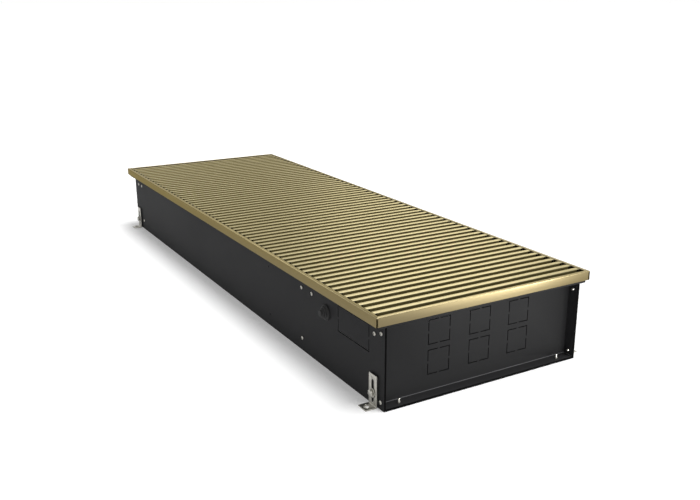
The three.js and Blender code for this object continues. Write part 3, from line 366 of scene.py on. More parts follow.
def powder_coat(name, colour, shaded_cuts=(), bend=None):
    """Matt black powder coat with its fine orange peel, with a painted highlight on the bend at a
    plate's foot.

    `shaded_cuts` holds (axis, from, to) ranges of the sheet's cut walls, which get painted shade.
    """
    finish = Finish(name)
    peel = finish.noise((1100, 1100, 1100), detail=2)
    clouds = finish.noise((9, 9, 9), detail=4, roughness=0.6)
    skin = finish.blend(clouds, toned(colour, 0.88), toned(colour, 1.14))
    roughness = 0.56 + 0.14 * clouds
    # Painted highlight: a band at the bend is made six times paler.
    if bend:
        band = finish.band("z", *bend)
        skin = finish.blend(band, skin, toned(colour, 6))
    # Painted shade: the sheet's cut walls are made nearly black.
    for cut in shaded_cuts:
        band = finish.band(*cut)
        skin = finish.blend(band, skin, toned(colour, 0.05))
        roughness = roughness + 0.4 * band
    return finish.shaded(
        base_color=skin, roughness=roughness, normal=finish.bump(peel, 0.02 * MM),
        specular_ior_level=0.07,
    )


def plated(name, colour, roughness=0.3, metallic=1.0, mottle=0.16):
    """Bright plated or bare metal, slightly clouded, with faint scratches."""
    finish = Finish(name)
    clouds = finish.noise((160, 160, 160), detail=4, roughness=0.65)
    scratches = finish.noise((90, 2400, 2400), detail=1)
    return finish.shaded(
        base_color=finish.blend(clouds, toned(colour, 1 - mottle), toned(colour, 1 + mottle)),
        metallic=metallic,
        roughness=(roughness - 0.1) + 0.22 * clouds,
        normal=finish.bump(scratches, 0.006 * MM),
    )


def spangled(name, colour):
    """Hot-dip galvanised sheet with its crystal spangle."""
    finish = Finish(name)
    crystals = finish.cells((110, 110, 110))
    grain = finish.noise((700, 700, 700), detail=2)
    return finish.shaded(
        base_color=finish.blend(crystals, toned(colour, 0.82), toned(colour, 1.12)),
        metallic=0.45,
        roughness=0.36 + 0.2 * crystals,
        normal=finish.bump(grain, 0.01 * MM),
    )


def moulded(name, colour, roughness, grain, gloss=0.2):
    """Moulded rubber or plastic: an even dull skin with a fine grain."""
    finish = Finish(name)
    skin = finish.noise((grain, grain, grain), detail=3)
    dust = finish.noise((60, 60, 60), detail=4, roughness=0.7)
    return finish.shaded(
        base_color=finish.blend(dust, toned(colour, 0.85), toned(colour, 1.3)),
        roughness=(roughness - 0.08) + 0.16 * dust,
        normal=finish.bump(skin, 0.03 * MM),
        specular_ior_level=gloss,
    )


def tarnished(name, colour):
    """Copper or brass with darker, warmer patches of tarnish."""
    finish = Finish(name)
    patches = finish.ramp(finish.noise((38, 38, 38), detail=5, roughness=0.6), (0.35, 0), (0.7, 1))
    fine = finish.noise((500, 500, 500), detail=2)
    return finish.shaded(
        base_color=finish.blend(patches, colour, toned(colour, 0.62)),
        metallic=1.0,
        roughness=0.26 + 0.2 * patches,
        normal=finish.bump(fine, 0.01 * MM),
    )


def finish_for(name):
    """The material of that name, made the first time that it is asked for."""
    colours = settings().colours
    # Painted shade: the side profiles' top is a dimmed copy of the top's painted highlight.
    side_top_dimmed_highlight = toned(colours.frame_top_highlight, 0.72)
    side_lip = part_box("frame_side_right")[0].y + 2 * MM
    end_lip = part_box("frame_end_near")[0].x + 2 * MM
    slat_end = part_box("roll_slat_1")[1]
    tray_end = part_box("casing")[1].x
    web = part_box("end_plate_near")[0].x
    makers = {
        "coat": lambda: powder_coat(name, colours.coat),
        "plate_coat": lambda: powder_coat(name, colours.coat, [
            # Painted shade: the knockouts' cut walls and a band by the tray's end are made nearly
            # black.
            ("x", web + 0.02 * MM, web + 1.48 * MM),
            ("x", tray_end - 0.9 * MM, tray_end - 0.05 * MM),
        # The band from 3.6 mm to 4.6 mm high is the painted highlight on the plates' bend.
        ], (3.6 * MM, 4.6 * MM)),
        "tray_coat": lambda: powder_coat(name, colours.coat, [
            # Painted shade: the tray's cut ends and the side walls' knockout cuts are made nearly
            # black.
            ("x", tray_end - 0.3 * MM, tray_end + 1 * MM),
            ("y", WALL - 1.48 * MM, WALL - 0.02 * MM),
        ]),
        # Frame profiles: painted highlight on the top, painted shade on the walls beside the slats
        # and at the side profiles' ends.
        "frame_lengthways": lambda: drawn_metal(
            name, "x", cad_high.z, side_top_dimmed_highlight, colours.frame_face,
            # Painted shade on the side profiles' walls beside the slats.
            inside=("y", side_lip, colours.frame_inside_shade),
            # Painted shade in the gap at the frame's corners, on the side profiles' ends.
            ends=(cad_high.x - 0.2 * MM, cad_high.x + 1 * MM),
        ),
        "frame_crossways": lambda: drawn_metal(
            name, "y", cad_high.z, colours.frame_top_highlight, colours.frame_face,
            # Painted shade on the end profiles' walls beside the slats.
            inside=("x", end_lip, colours.frame_inside_shade),
        ),
        # Slats: painted highlight on the top, painted shade on the flanks and near the slats' ends.
        "slat_metal": lambda: drawn_metal(
            name, "y", slat_end.z, colours.slats, colours.slat_flanks_shade,
            # Painted shadow of the frame on the slats' flanks near their ends.
            sheen=0.2, ends=(slat_end.y - 5 * MM, slat_end.y - 0.3 * MM),
        ),
        "zinc_plate": lambda: plated(name, colours.zinc),
        "rubber": lambda: moulded(name, colours.rubber, 0.5, 900, gloss=0.03),
        "sleeve_plastic": lambda: moulded(name, srgb(34, 34, 36), 0.5, 1500),
        "box_plastic": lambda: moulded(name, srgb(150, 152, 150), 0.5, 1200),
        "copper_tube": lambda: tarnished(name, colours.copper),
        "brass_fitting": lambda: tarnished(name, colours.brass),
        "fin_sheet": lambda: plated(name, colours.fins, 0.4, 0.35, 0.08),
        "galvanised_sheet": lambda: spangled(name, colours.galvanised),
        "bright_steel": lambda: plated(name, srgb(150, 150, 146), 0.28, 1.0, 0.1),
    }
    return bpy.data.materials.get(name) or makers[name]()


# ---- making pieces

def mesh_from(name, bm):
    """A mesh with the faces of a bmesh, which is freed."""
    mesh = bpy.data.meshes.new(name)
    bm.to_mesh(mesh)
    bm.free()
    return mesh


def linked(name, data):
    """A new object in the scene that shows a mesh, camera or lamp."""
    made = bpy.data.objects.new(name, data)
    bpy.context.scene.collection.objects.link(made)
    return made


def piece(name, bm, finish, replaced=(), flat_above=None, body="casing"):
    """Makes a bmesh a finished piece that rides on a body.

    Faces larger than `flat_above` are shaded flat, and all others smoothly.
    """
    for face in bm.faces:
        face.smooth = flat_above is None or face.calc_area() < flat_above
    mesh = mesh_from(name, bm)
    mesh.set_sharp_from_angle(angle=math.radians(35))
    mesh.materials.append(finish_for(finish))
    made = linked(name, mesh)
    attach(made, body)
    if replaced:
        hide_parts(*replaced)
    return made


def keep_solid(node, finish):
    """A CAD node that stays, with a finish of its own."""
    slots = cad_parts[node].data.materials
    slots.clear()
    slots.append(finish_for(finish))


def join_flat(bm):
    """Joins faces that lie in one plane."""
    bmesh.ops.dissolve_limit(
        bm, angle_limit=math.radians(0.5), verts=bm.verts, edges=bm.edges,
    )


def merged_copy(node):
    """A node's mesh with its loose triangles joined into whole faces."""
    bm = bmesh.new()
    bm.from_mesh(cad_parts[node].data)
    bmesh.ops.remove_doubles(bm, verts=bm.verts, dist=0.002 * MM)
    join_flat(bm)
    return bm


def bevel(bm, edges, width, segments, clamp=False):
    """Rounds the given edges."""
    bmesh.ops.bevel(
        bm, geom=edges, offset=width, offset_type="OFFSET", segments=segments, profile=0.5,
        affect="EDGES", clamp_overlap=clamp, material=-1,
    )


def ease_edges(bm, width, segments=2, sharper=30, edges=None):
    """Rounds edges sharper than an angle."""
    chosen = [
        edge for edge in (bm.edges if edges is None else edges)
        if edge.is_manifold and edge.calc_face_angle() > math.radians(sharper)
        and edge.calc_length() > 2.5 * width
    ]
    bevel(bm, chosen, width, segments)


def dressed(node, name, finish, width=None, segments=2):
    """A node's merged copy with rounded edges, which stands for the node."""
    bm = merged_copy(node)
    if width:
        ease_edges(bm, width, segments)
    return piece(name, bm, finish, [node], SHEET_FACES)


def pointing(start, direction):
    """The matrix that takes +Z at the origin to a direction at a place."""
    turn = Vector(direction).to_track_quat("Z", "Y").to_matrix().to_4x4()
    return Matrix.Translation(start) @ turn


def turned(bm, profile, start, direction, steps=24):
    """Spins a profile of (radius, height) pairs about a direction."""
    before = set(bm.verts)
    points = [bm.verts.new((radius, 0, height)) for radius, height in profile]
    edges = [bm.edges.new(pair) for pair in zip(points, points[1:])]
    bmesh.ops.spin(
        bm, geom=points + edges, cent=(0, 0, 0), axis=(0, 0, 1), angle=math.tau, steps=steps,
        use_merge=True,
    )
    made = [vert for vert in bm.verts if vert not in before]
    bmesh.ops.remove_doubles(bm, verts=made, dist=0.001 * MM)
    made = [vert for vert in bm.verts if vert not in before]
    faces = list({face for vert in made for face in vert.link_faces})
    bmesh.ops.recalc_face_normals(bm, faces=faces)
    bmesh.ops.transform(bm, matrix=pointing(start, direction), verts=made)
    return made


def bar(bm, radius, start, end, sides=16):
    """A round bar between two points."""
    start, end = Vector(start), Vector(end)
    along = end - start
    return bmesh.ops.create_cone(
        bm, cap_ends=True, segments=sides, radius1=radius, radius2=radius, depth=along.length,
        matrix=pointing((start + end) / 2, along),
    )["verts"]


def hexagon(bm, across, start, direction, height, chamfer):
    """A hexagonal nut or head with rounded edges."""
    middle = Vector(start) + Vector(direction) * height / 2
    made = bmesh.ops.create_cone(
        bm, cap_ends=True, segments=6, radius1=across / 2, radius2=across / 2, depth=height,
        matrix=pointing(middle, direction),
    )["verts"]
    edges = {edge for vert in made for edge in vert.link_edges}
    bevel(bm, list(edges), chamfer, 3, clamp=True)


def add_copy(bm, shape, place):
    """Adds a copy of a mesh at a place."""
    known = set(bm.verts)
    bm.from_mesh(shape)
    made = [vert for vert in bm.verts if vert not in known]
    bmesh.ops.transform(bm, matrix=place, verts=made)


def slab(bm, low, high):
    """A box between two corners; returns its vertices."""
    low, high = Vector(low), Vector(high)
    size = Matrix.Diagonal((*(high - low), 1))
    return bmesh.ops.create_cube(
        bm, size=1, matrix=Matrix.Translation((low + high) / 2) @ size,
    )["verts"]


def take_off_heads(bm, is_head):
    """Takes fused rivet heads off a merged copy and closes their holes; returns their middles."""
    heads = {vert for vert in bm.verts if is_head(vert.co)}
    middles = []
    left = set(heads)
    while left:
        group, queue = set(), [left.pop()]
        while queue:
            vert = queue.pop()
            group.add(vert)
            for edge in vert.link_edges:
                other = edge.other_vert(vert)
                if other in left:
                    left.discard(other)
                    queue.append(other)
        middles.append(sum((vert.co for vert in group), Vector()) / len(group))
    bmesh.ops.delete(bm, geom=list(heads), context="VERTS")
    open_edges = [edge for edge in bm.edges if edge.is_boundary]
    bmesh.ops.holes_fill(bm, edges=open_edges, sides=0)
    join_flat(bm)
    return middles


def add_rivet(bm, start, outward):
    """A blind rivet: domed head with its mandrel hole, and the shank and tail behind it."""
    sizes = settings().fasteners
    head, hole, rise = sizes.head / 2, sizes.mandrel / 2, sizes.rise
    dome = [
        (head * math.sin(turn), rise * math.cos(turn) ** 0.8)
        for turn in (math.radians(step) for step in (28, 42, 56, 70, 80))
    ]
    shank = head * 0.6
    grip = sizes.grip
    profile = [
        (0, -0.6 * MM), (hole * 0.8, -0.6 * MM), (hole, rise * 0.95), *dome,
        (head, rise * 0.12), (head * 0.97, 0), (shank, 0), (shank, -grip),
        *((radius, -grip - deep) for radius, deep in tail_outline(shank, sizes.tail)),
    ]
    turned(bm, profile, start, outward, steps=20)


def tail_outline(shank, tail):
    """The swelled tail of a blind rivet from the sheet on, as (radius, height) pairs."""
    return [
        (shank * 1.25, 0.15 * MM), (shank * 1.3, tail * 0.3), (shank * 1.05, tail * 0.5),
        (shank, tail * 0.92), (shank * 0.85, tail), (0, tail),
    ]


# ---- operators, one for each piece or group of like pieces

class HEATER_OT_grille(bpy.types.Operator):
    """Makes the slats of the roll-up grille, with their spring wires and spacer sleeves"""
    bl_idname = "heater.grille"
    bl_label = "Grille"

    def slat_shape(self):
        """One slat about x = 0, as a mesh to copy."""
        sizes = settings().grille
        low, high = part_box("roll_slat_1")
        bm = bmesh.new()
        slab(bm, (-sizes.top / 2, low.y, low.z), (sizes.top / 2, high.y, high.z))
        for vert in bm.verts:
            if vert.co.z < (low.z + high.z) / 2:
                vert.co.x *= sizes.foot / sizes.top
        middle = (low.z + high.z) / 2
        long_edges = [
            edge for edge in bm.edges if abs(edge.verts[0].co.y - edge.verts[1].co.y) > 0.1
        ]
        for upper, width, segments in ((True, sizes.round, 3), (False, sizes.foot_round, 2)):
            chosen = [e for e in long_edges if e.is_valid and (e.verts[0].co.z > middle) == upper]
            bevel(bm, chosen, width, segments, clamp=True)
        return mesh_from("slat_shape", bm)

    def wire_places(self):
        """Where the two wires lie, as (y, z)."""
        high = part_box("roll_slat_1")[1]
        reach = high.y - WIRE_FROM_END
        return [(side * reach, high.z - WIRE_BELOW_TOP) for side in SIDES.values()]

    def sleeves(self, bm, x, towards_far, towards_near):
        """Sleeves on both sides of the slat at x, as far as each distance."""
        radius = settings().grille.sleeve / 2
        flank = 2.95 * MM
        for y, z in self.wire_places():
            for way, reach in ((-1, towards_far), (1, towards_near)):
                bar(bm, radius, (x + way * flank, y, z), (x + way * reach, y, z))

    def wires(self, bm, start, end):
        radius = settings().grille.wire / 2
        for y, z in self.wire_places():
            bar(bm, radius, (start, y, z), (end, y, z), sides=12)

    def execute(self, context):
        pitch = settings().grille.pitch
        half = pitch / 2
        shape = self.slat_shape()
        rolling = sorted(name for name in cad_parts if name.startswith("roll_slat_"))
        hinge_gap = 1.7 * MM
        wire_gap = 0.8 * MM

        def slats_at(places):
            bm = bmesh.new()
            for x in places:
                add_copy(bm, shape, Matrix.Translation((x, 0, 0)))
            return bm

        low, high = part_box("roll_slat_1")
        first_rolling = (low.x + high.x) / 2
        first_fixed = first_rolling - pitch
        count = round((first_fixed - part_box("grille_panel")[0].x) / pitch) + 1
        places = [first_fixed - step * pitch for step in range(count)]
        piece(
            "grille_slats", slats_at(places), "slat_metal", ["grille_panel"], SLAT_FACES, "grille",
        )
        fixed = bmesh.new()
        for index, x in enumerate(places):
            self.sleeves(fixed, x, half, half - hinge_gap if index == 0 else half)
        piece("grille_sleeves", fixed, "sleeve_plastic", body="grille")
        wire = bmesh.new()
        self.wires(wire, places[-1] - half + wire_gap, places[0] + half - wire_gap)
        piece("grille_wires", wire, "bright_steel", body="grille")
        for index, node in enumerate(rolling, start=1):
            x = first_rolling + (index - 1) * pitch
            body = f"roll_{index}"
            piece(
                f"rolling_slat_{index}", slats_at([x]), "slat_metal", [node], SLAT_FACES, body,
            )
            bm = bmesh.new()
            self.sleeves(bm, x, half - hinge_gap, half - hinge_gap)
            self.wires(bm, x - half + wire_gap, x + half - wire_gap)
            piece(f"rolling_sleeves_{index}", bm, "sleeve_plastic", body=body)
        bpy.data.meshes.remove(shape)
        return {"FINISHED"}


class HEATER_OT_frame(bpy.types.Operator):
    """Finishes the four anodised profiles of the frame, their corner keys and the seal strips"""
    bl_idname = "heater.frame"
    bl_label = "Frame"

    def execute(self, context):
        edge = settings().fasteners.edge
        for side in SIDES:
            dressed(f"frame_side_{side}", f"frame_profile_{side}", "frame_lengthways", edge)
            dressed(f"seal_strip_{side}", f"seal_{side}", "rubber", 0.6 * MM, 3)
        for end in ENDS:
            dressed(f"frame_end_{end}", f"frame_profile_{end}", "frame_crossways", edge)
        for end, side in CORNERS:
            keep_solid(f"frame_key_{end}_{side}", "zinc_plate")
        return {"FINISHED"}


class HEATER_OT_casing(bpy.types.Operator):
    """Finishes the folded casing, its end plates, partition and rails, and rivets them up"""
    bl_idname = "heater.casing"
    bl_label = "Casing"

    def execute(self, context):
        sizes = settings().fasteners
        wall = PAD_BACK - 0.2 * MM
        lip_top = 3.3 * MM
        dressed("casing", "casing_tray", "tray_coat")

        def on_wall(place):
            return abs(place.y) > wall and place.z < HEADS_BELOW

        def in_lip(place):
            return lip_top + 0.02 * MM < place.z < lip_top + 2 * MM

        rivets = bmesh.new()
        plates = (
            ("end_plate_near", "near_plate", "plate_coat"),
            ("end_plate_far", "far_plate", "plate_coat"),
            ("partition", "partition_plate", "galvanised_sheet"),
            ("cover_rail_left", "rail_left", "galvanised_sheet"),
            ("cover_rail_right", "rail_right", "galvanised_sheet"),
        )
        for node, name, finish in plates:
            bm = merged_copy(node)
            for middle in take_off_heads(bm, on_wall):
                side = math.copysign(1, middle.y)
                add_rivet(rivets, (middle.x, side * (wall + 0.05 * MM), middle.z), (0, side, 0))
            if node.startswith("end_plate"):
                for middle in take_off_heads(bm, in_lip):
                    self.add_tail(rivets, (middle.x, middle.y, lip_top))
                folds = [edge for edge in bm.edges if self.is_fold(edge, lip_top)]
                ease_edges(bm, sizes.fold, 4, edges=folds)
            outline = [edge for edge in bm.edges if edge.calc_length() > 25 * MM]
            ease_edges(bm, sizes.edge, 1, edges=outline)
            piece(name, bm, finish, [node], SHEET_FACES)
        piece("rivets", rivets, "zinc_plate")
        return {"FINISHED"}

    def add_tail(self, bm, start):
        """The tail of a blind rivet that was set from below, which stands on a plate's lip."""
        shank = 1.7 * MM
        turned(bm, [
            (0, -1 * MM), (shank, -1 * MM), (shank, 0), *tail_outline(shank, 7.5 * MM),
        ], start, (0, 0, 1), steps=20)

    def is_fold(self, edge, lip_top):
        """Whether an edge is the inside corner between a plate's web and its bottom lip."""
        across = [abs(vert.co.z - lip_top) < 0.01 * MM for vert in edge.verts]
        return all(across) and edge.is_manifold and not edge.is_convex and (
            edge.calc_length() > 100 * MM
        )


class HEATER_OT_brackets(bpy.types.Operator):
    """Makes the levelling brackets with their pads, bolts and washers"""
    bl_idname = "heater.brackets"
    bl_label = "Levelling brackets"

    def bolt(self, bm, axis, outward, head_start, end):
        """A hexagon bolt: domed head, washer, and threaded shank through the wall to `end`."""
        sizes = settings().fasteners
        washer, thick, hole = sizes.washer / 2, 1.4 * MM, 3.2 * MM
        at = Vector(axis)
        outward = Vector(outward)
        edge = 0.3 * MM
        turned(bm, [
            (hole, 0), (washer - edge, 0), (washer, edge), (washer, thick - edge),
            (washer - edge, thick), (hole, thick), (hole, 0),
        ], at + outward * (head_start - thick), outward, steps=28)
        crown = 3.4 * MM
        hexagon(bm, sizes.hexagon, at + outward * head_start, outward, crown, 0.55 * MM)
        turned(bm, [
            (0, 0.1 * MM), (4.6 * MM, 0.1 * MM), (4.2 * MM, crown * 0.98),
            (3.2 * MM, crown + 0.42 * MM), (0, crown + 0.55 * MM),
        ], at + outward * head_start, outward, steps=24)
        pitch = 0.8 * MM
        turns = int((head_start - end) / pitch)
        thread = []
        for step in range(turns):
            thread += [(2.62 * MM, step * pitch), (2.3 * MM, (step + 0.5) * pitch)]
        profile = [(0, 0), *thread, (0, turns * pitch)]
        turned(bm, profile, at + outward * head_start, -outward, steps=16)

    def bracket(self, low, high, way):
        """The slotted plate with its foot: cut flat, then bent round a quarter circle."""
        radius = settings().fasteners.bend
        thick = 2 * MM
        half = (high.x - low.x) / 2
        middle_x = (low.x + high.x) / 2
        wall, reach = sorted((abs(low.y), abs(high.y)))
        foot = reach - wall - radius
        arc = radius * math.pi / 2
        rise = foot + arc - radius - low.z   # added to a height, gives its place on the flat sheet
        slot = 3.3 * MM
        bm = bmesh.new()

        def loop(points):
            verts = [bm.verts.new((x, y, 0)) for x, y in points]
            return [bm.edges.new(pair) for pair in zip(verts, verts[1:] + verts[:1])]

        def arc_of(x, y, size, start, turn, steps=12):
            turns = [start + turn * step / steps for step in range(steps + 1)]
            return [(x + size * math.cos(at), y + size * math.sin(at)) for at in turns]

        top = rise + high.z
        outline = loop([(-half, 0), (half, 0), (half, top), (-half, top)])
        hole = loop(arc_of(0, FOOT_HOLE_IN, 4 * MM, 0, math.tau, 24)[:-1])
        slotted = loop(
            arc_of(0, rise + low.z + 43 * MM - slot, slot, 0, math.pi)
            + arc_of(0, rise + low.z + 7 * MM + slot, slot, math.pi, math.pi),
        )
        bmesh.ops.triangle_fill(bm, edges=outline + hole + slotted, use_beauty=True)
        for step in range(7):
            bmesh.ops.bisect_plane(
                bm, geom=[*bm.verts, *bm.edges, *bm.faces], dist=0.001 * MM,
                plane_co=(0, foot + arc * step / 6, 0), plane_no=(0, 1, 0),
            )
        raised = bmesh.ops.extrude_face_region(bm, geom=list(bm.faces))["geom"]
        bmesh.ops.translate(
            bm, vec=(0, 0, thick), verts=[v for v in raised if isinstance(v, bmesh.types.BMVert)],
        )
        bmesh.ops.recalc_face_normals(bm, faces=bm.faces)
        ease_edges(bm, 0.25 * MM, 2, 60)
        for vert in bm.verts:
            x, along, deep = vert.co
            if along < foot:
                y, z = reach - along, deep
            elif along < foot + arc:
                turn = (along - foot) / radius
                y = wall + radius - (radius - deep) * math.sin(turn)
                z = radius - (radius - deep) * math.cos(turn)
            else:
                y, z = wall + deep, radius + along - foot - arc
            vert.co = (middle_x + x, way * y, low.z + z)
        bmesh.ops.recalc_face_normals(bm, faces=bm.faces)
        return bm

    def execute(self, context):
        for end, side in CORNERS:
            corner = f"{end}_{side}"
            way = SIDES[side]
            low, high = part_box(f"level_bracket_{corner}")
            middle_x = (low.x + high.x) / 2
            bm = self.bracket(low, high, way)
            ring_y = way * (max(abs(low.y), abs(high.y)) - FOOT_HOLE_IN)
            turned(bm, [
                (4.15 * MM, -0.3 * MM), (4.15 * MM, 0.25 * MM), (4.5 * MM, 0.5 * MM),
                (5.2 * MM, 0.5 * MM), (5.6 * MM, 0.2 * MM), (5.7 * MM, -0.3 * MM),
                (4.15 * MM, -0.3 * MM),
            ], (middle_x, ring_y, 2 * MM), (0, 0, 1), steps=32)
            piece(
                f"bracket_{corner}", bm, "zinc_plate", [f"level_bracket_{corner}"], SHEET_FACES,
                f"bracket_{corner}",
            )
            dressed(f"level_pad_{corner}", f"pad_{corner}", "rubber", 0.3 * MM)
            bolt_low, bolt_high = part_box(f"level_bolt_{corner}")
            shank_end, reach = sorted((abs(bolt_low.y), abs(bolt_high.y)))
            axis = (middle_x, 0, (bolt_low.z + bolt_high.z) / 2)
            bm = bmesh.new()
            self.bolt(bm, axis, (0, way, 0), reach - 4 * MM, shank_end)
            piece(f"bolt_{corner}", bm, "zinc_plate", [f"level_bolt_{corner}"])
        return {"FINISHED"}


class HEATER_OT_grommet(bpy.types.Operator):
    """Makes the stepped rubber grommet in the side wall"""
    bl_idname = "heater.grommet"
    bl_label = "Cable grommet"

    def execute(self, context):
        low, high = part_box("cable_grommet")
        middle = (low + high) / 2
        flange = (high.x - low.x) / 2
        reach = -WALL - low.y
        back = high.y + WALL
        steps = []
        for share, start in ((1.0, 0.02), (0.8, 0.3), (0.62, 0.52), (0.44, 0.74)):
            steps += [
                (flange * share, reach * start), (flange * (share - 0.04), reach * (start + 0.2)),
            ]
        bm = bmesh.new()
        profile = [
            (0, -back + 0.2 * MM), (flange * 0.7, -back), (flange * 0.88, -back),
            (flange * 0.88, -1.8 * MM), (flange * 0.74, -1.7 * MM), (flange * 0.74, 0.2 * MM),
            *steps, (flange * 0.38, reach), (0, reach),
        ]
        turned(bm, profile, (middle.x, -WALL, middle.z), (0, -1, 0), steps=40)
        ease_edges(bm, 0.35 * MM, 3, 25)
        piece("grommet", bm, "rubber", ["cable_grommet"])
        return {"FINISHED"}


class HEATER_OT_compartment(bpy.types.Operator):
    """Makes the connection compartment's cover, screws and terminal box"""
    bl_idname = "heater.compartment"
    bl_label = "Connection compartment"

    def execute(self, context):
        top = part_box("compartment_cover")[1].z - 1.5 * MM   # below its screws' heads
        cover = merged_copy("compartment_cover")
        middles = take_off_heads(cover, lambda place: place.z > top + 0.05 * MM)
        ease_edges(cover, settings().fasteners.edge, 1)
        piece("cover", cover, "coat", ["compartment_cover"])
        screws = bmesh.new()
        for middle in middles:
            turned(screws, [
                (0, 0.5 * MM), (1.5 * MM, 0.5 * MM), (1.6 * MM, 1.3 * MM), (2.4 * MM, 1.2 * MM),
                (3.1 * MM, 0.6 * MM), (3.2 * MM, 0), (0, 0),
            ], (middle.x, middle.y, top), (0, 0, 1), steps=24)
        piece("cover_screws", screws, "zinc_plate")
        dressed("terminal_box", "box", "box_plastic", 0.8 * MM)
        lid_low, lid_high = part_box("terminal_lid")
        lid = bmesh.new()
        lid_top = lid_high.z - 0.5 * MM
        slab(lid, lid_low, (lid_high.x, lid_high.y, lid_top))
        ease_edges(lid, 0.8 * MM)
        inset = 7 * MM
        for x in (lid_low.x + inset, lid_high.x - inset):
            for y in (lid_low.y + inset, lid_high.y - inset):
                turned(lid, [
                    (0, 0.1 * MM), (2 * MM, 0.1 * MM), (2.1 * MM, 0.5 * MM), (3.4 * MM, 0.5 * MM),
                    (3.5 * MM, -0.3 * MM), (0, -0.3 * MM),
                ], (x, y, lid_top), (0, 0, 1), steps=20)
        piece("box_lid", lid, "box_plastic", ["terminal_lid"])
        keep_solid("terminal_block", "sleeve_plastic")
        piece("lead", merged_copy("motor_lead"), "sleeve_plastic", ["motor_lead"])
        return {"FINISHED"}


class HEATER_OT_exchanger(bpy.types.Operator):
    """Makes the finned heat exchanger with its unions and bleed valve"""
    bl_idname = "heater.exchanger"
    bl_label = "Heat exchanger"

    def fins(self):
        sizes = settings().inside
        low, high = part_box("exchanger_fins")
        gap = high.x - low.x
        count = int(gap / sizes.fin_pitch)
        pitch = (gap - sizes.fin_wave - 2 * sizes.fin_sheet) / count
        sheet = bmesh.new()
        bmesh.ops.create_grid(
            sheet, x_segments=1, y_segments=sizes.fin_folds, size=0.5,
            matrix=Matrix.Rotation(math.pi / 2, 4, "Y"),
        )
        for vert in sheet.verts:
            fold = round((vert.co.y + 0.5) * sizes.fin_folds)
            z = high.z if vert.co.z > 0 else low.z
            x = low.x + sizes.fin_sheet + (fold % 2) * sizes.fin_wave
            vert.co = (x, low.y + (vert.co.y + 0.5) * (high.y - low.y), z)
        bmesh.ops.recalc_face_normals(sheet, faces=sheet.faces)
        bmesh.ops.solidify(sheet, geom=sheet.faces, thickness=sizes.fin_sheet)
        shape = mesh_from("fin_shape", sheet)
        bm = bmesh.new()
        for step in range(count + 1):
            add_copy(bm, shape, Matrix.Translation((step * pitch, 0, 0)))
        bpy.data.meshes.remove(shape)
        return bm

    def execute(self, context):
        radius = settings().inside.tube / 2
        piece("fins", self.fins(), "fin_sheet", ["exchanger_fins"])
        tube_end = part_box("exchanger_tubes")[1].x
        rows = (27.5 * MM, 102.5 * MM)
        levels = (39.5 * MM, 74.5 * MM)
        far_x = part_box("exchanger_bracket_far")[0].x - 7 * MM
        near_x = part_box("exchanger_bracket_near")[0].x + 9 * MM
        tubes = bmesh.new()
        for y in rows:
            bar(tubes, radius, (tube_end, y, levels[0]), (far_x, y, levels[0]), 24)
            bar(tubes, radius, (near_x, y, levels[1]), (far_x, y, levels[1]), 24)
            self.elbow(tubes, radius, (far_x, y, levels[0]), (far_x, y, sum(levels) / 2), (0, 1, 0))
            for z in levels:
                self.collar(tubes, radius, (far_x - 1 * MM, y, z), (1, 0, 0))
            self.collar(tubes, radius, (near_x + 1 * MM, y, levels[1]), (-1, 0, 0))
        self.elbow(
            tubes, radius, (near_x, rows[0], levels[1]), (near_x, sum(rows) / 2, levels[1]),
            (0, 0, 1),
        )
        piece("tubes", tubes, "copper_tube", ["exchanger_tubes"])
        for end in ENDS:
            dressed(
                f"exchanger_bracket_{end}", f"exchanger_plate_{end}", "galvanised_sheet",
                0.3 * MM, 1,
            )
        for side, y in zip(SIDES, rows):
            bm = bmesh.new()
            start = (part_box(f"union_{side}")[0].x, y, levels[0])
            hexagon(bm, 30 * MM, start, (1, 0, 0), 13.5 * MM, 0.8 * MM)
            thread = []
            for step in range(9):
                thread += [(10.5 * MM, (12 + 2 * step) * MM), (9.7 * MM, (13 + 2 * step) * MM)]
            profile = [(6.5 * MM, 10 * MM), *thread, (6.5 * MM, 30 * MM), (6.5 * MM, 10 * MM)]
            turned(bm, profile, start, (1, 0, 0), steps=28)
            piece(f"union_{side}_fitting", bm, "brass_fitting", [f"union_{side}"])
        self.bleed_valve()
        return {"FINISHED"}

    def collar(self, bm, radius, start, along):
        """The swelled and brazed end of a bend, pushed over a tube."""
        swelled = radius + 0.6 * MM
        turned(bm, [
            (radius - 0.5 * MM, 0), (swelled, 0), (swelled, 5 * MM), (radius, 6 * MM),
            (radius - 0.5 * MM, 0),
        ], start, along)

    def elbow(self, bm, radius, start, centre, axis):
        """A half-circle bend from `start` about `centre`."""
        ring = bmesh.ops.create_circle(
            bm, cap_ends=False, radius=radius, segments=24, matrix=pointing(start, (1, 0, 0)),
        )["verts"]
        edges = list({edge for vert in ring for edge in vert.link_edges})
        bmesh.ops.spin(
            bm, geom=ring + edges, cent=centre, axis=axis, angle=math.pi, steps=16,
            use_merge=False,
        )
        bmesh.ops.holes_fill(bm, edges=[e for e in bm.edges if e.is_boundary], sides=0)
        bmesh.ops.recalc_face_normals(bm, faces=bm.faces)

    def bleed_valve(self):
        low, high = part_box("bleed_valve")
        start = ((low.x + high.x) / 2, (low.y + high.y) / 2, low.z)
        up = (0, 0, 1)
        bm = bmesh.new()
        hexagon(bm, 12 * MM, start, up, high.z - low.z - 2 * MM, 0.5 * MM)
        turned(bm, [
            (3.9 * MM, 0), (5 * MM, 0), (5 * MM, 11.6 * MM), (4.7 * MM, 12 * MM),
            (3.9 * MM, 12 * MM), (3.9 * MM, 0),
        ], start, up, steps=24)
        piece("bleed_valve_body", bm, "brass_fitting", ["bleed_valve"])
        screw = merged_copy("bleed_screw")
        ease_edges(screw, 0.25 * MM)
        piece("vent_screw", screw, "brass_fitting", ["bleed_screw"], body="bleed_screw")


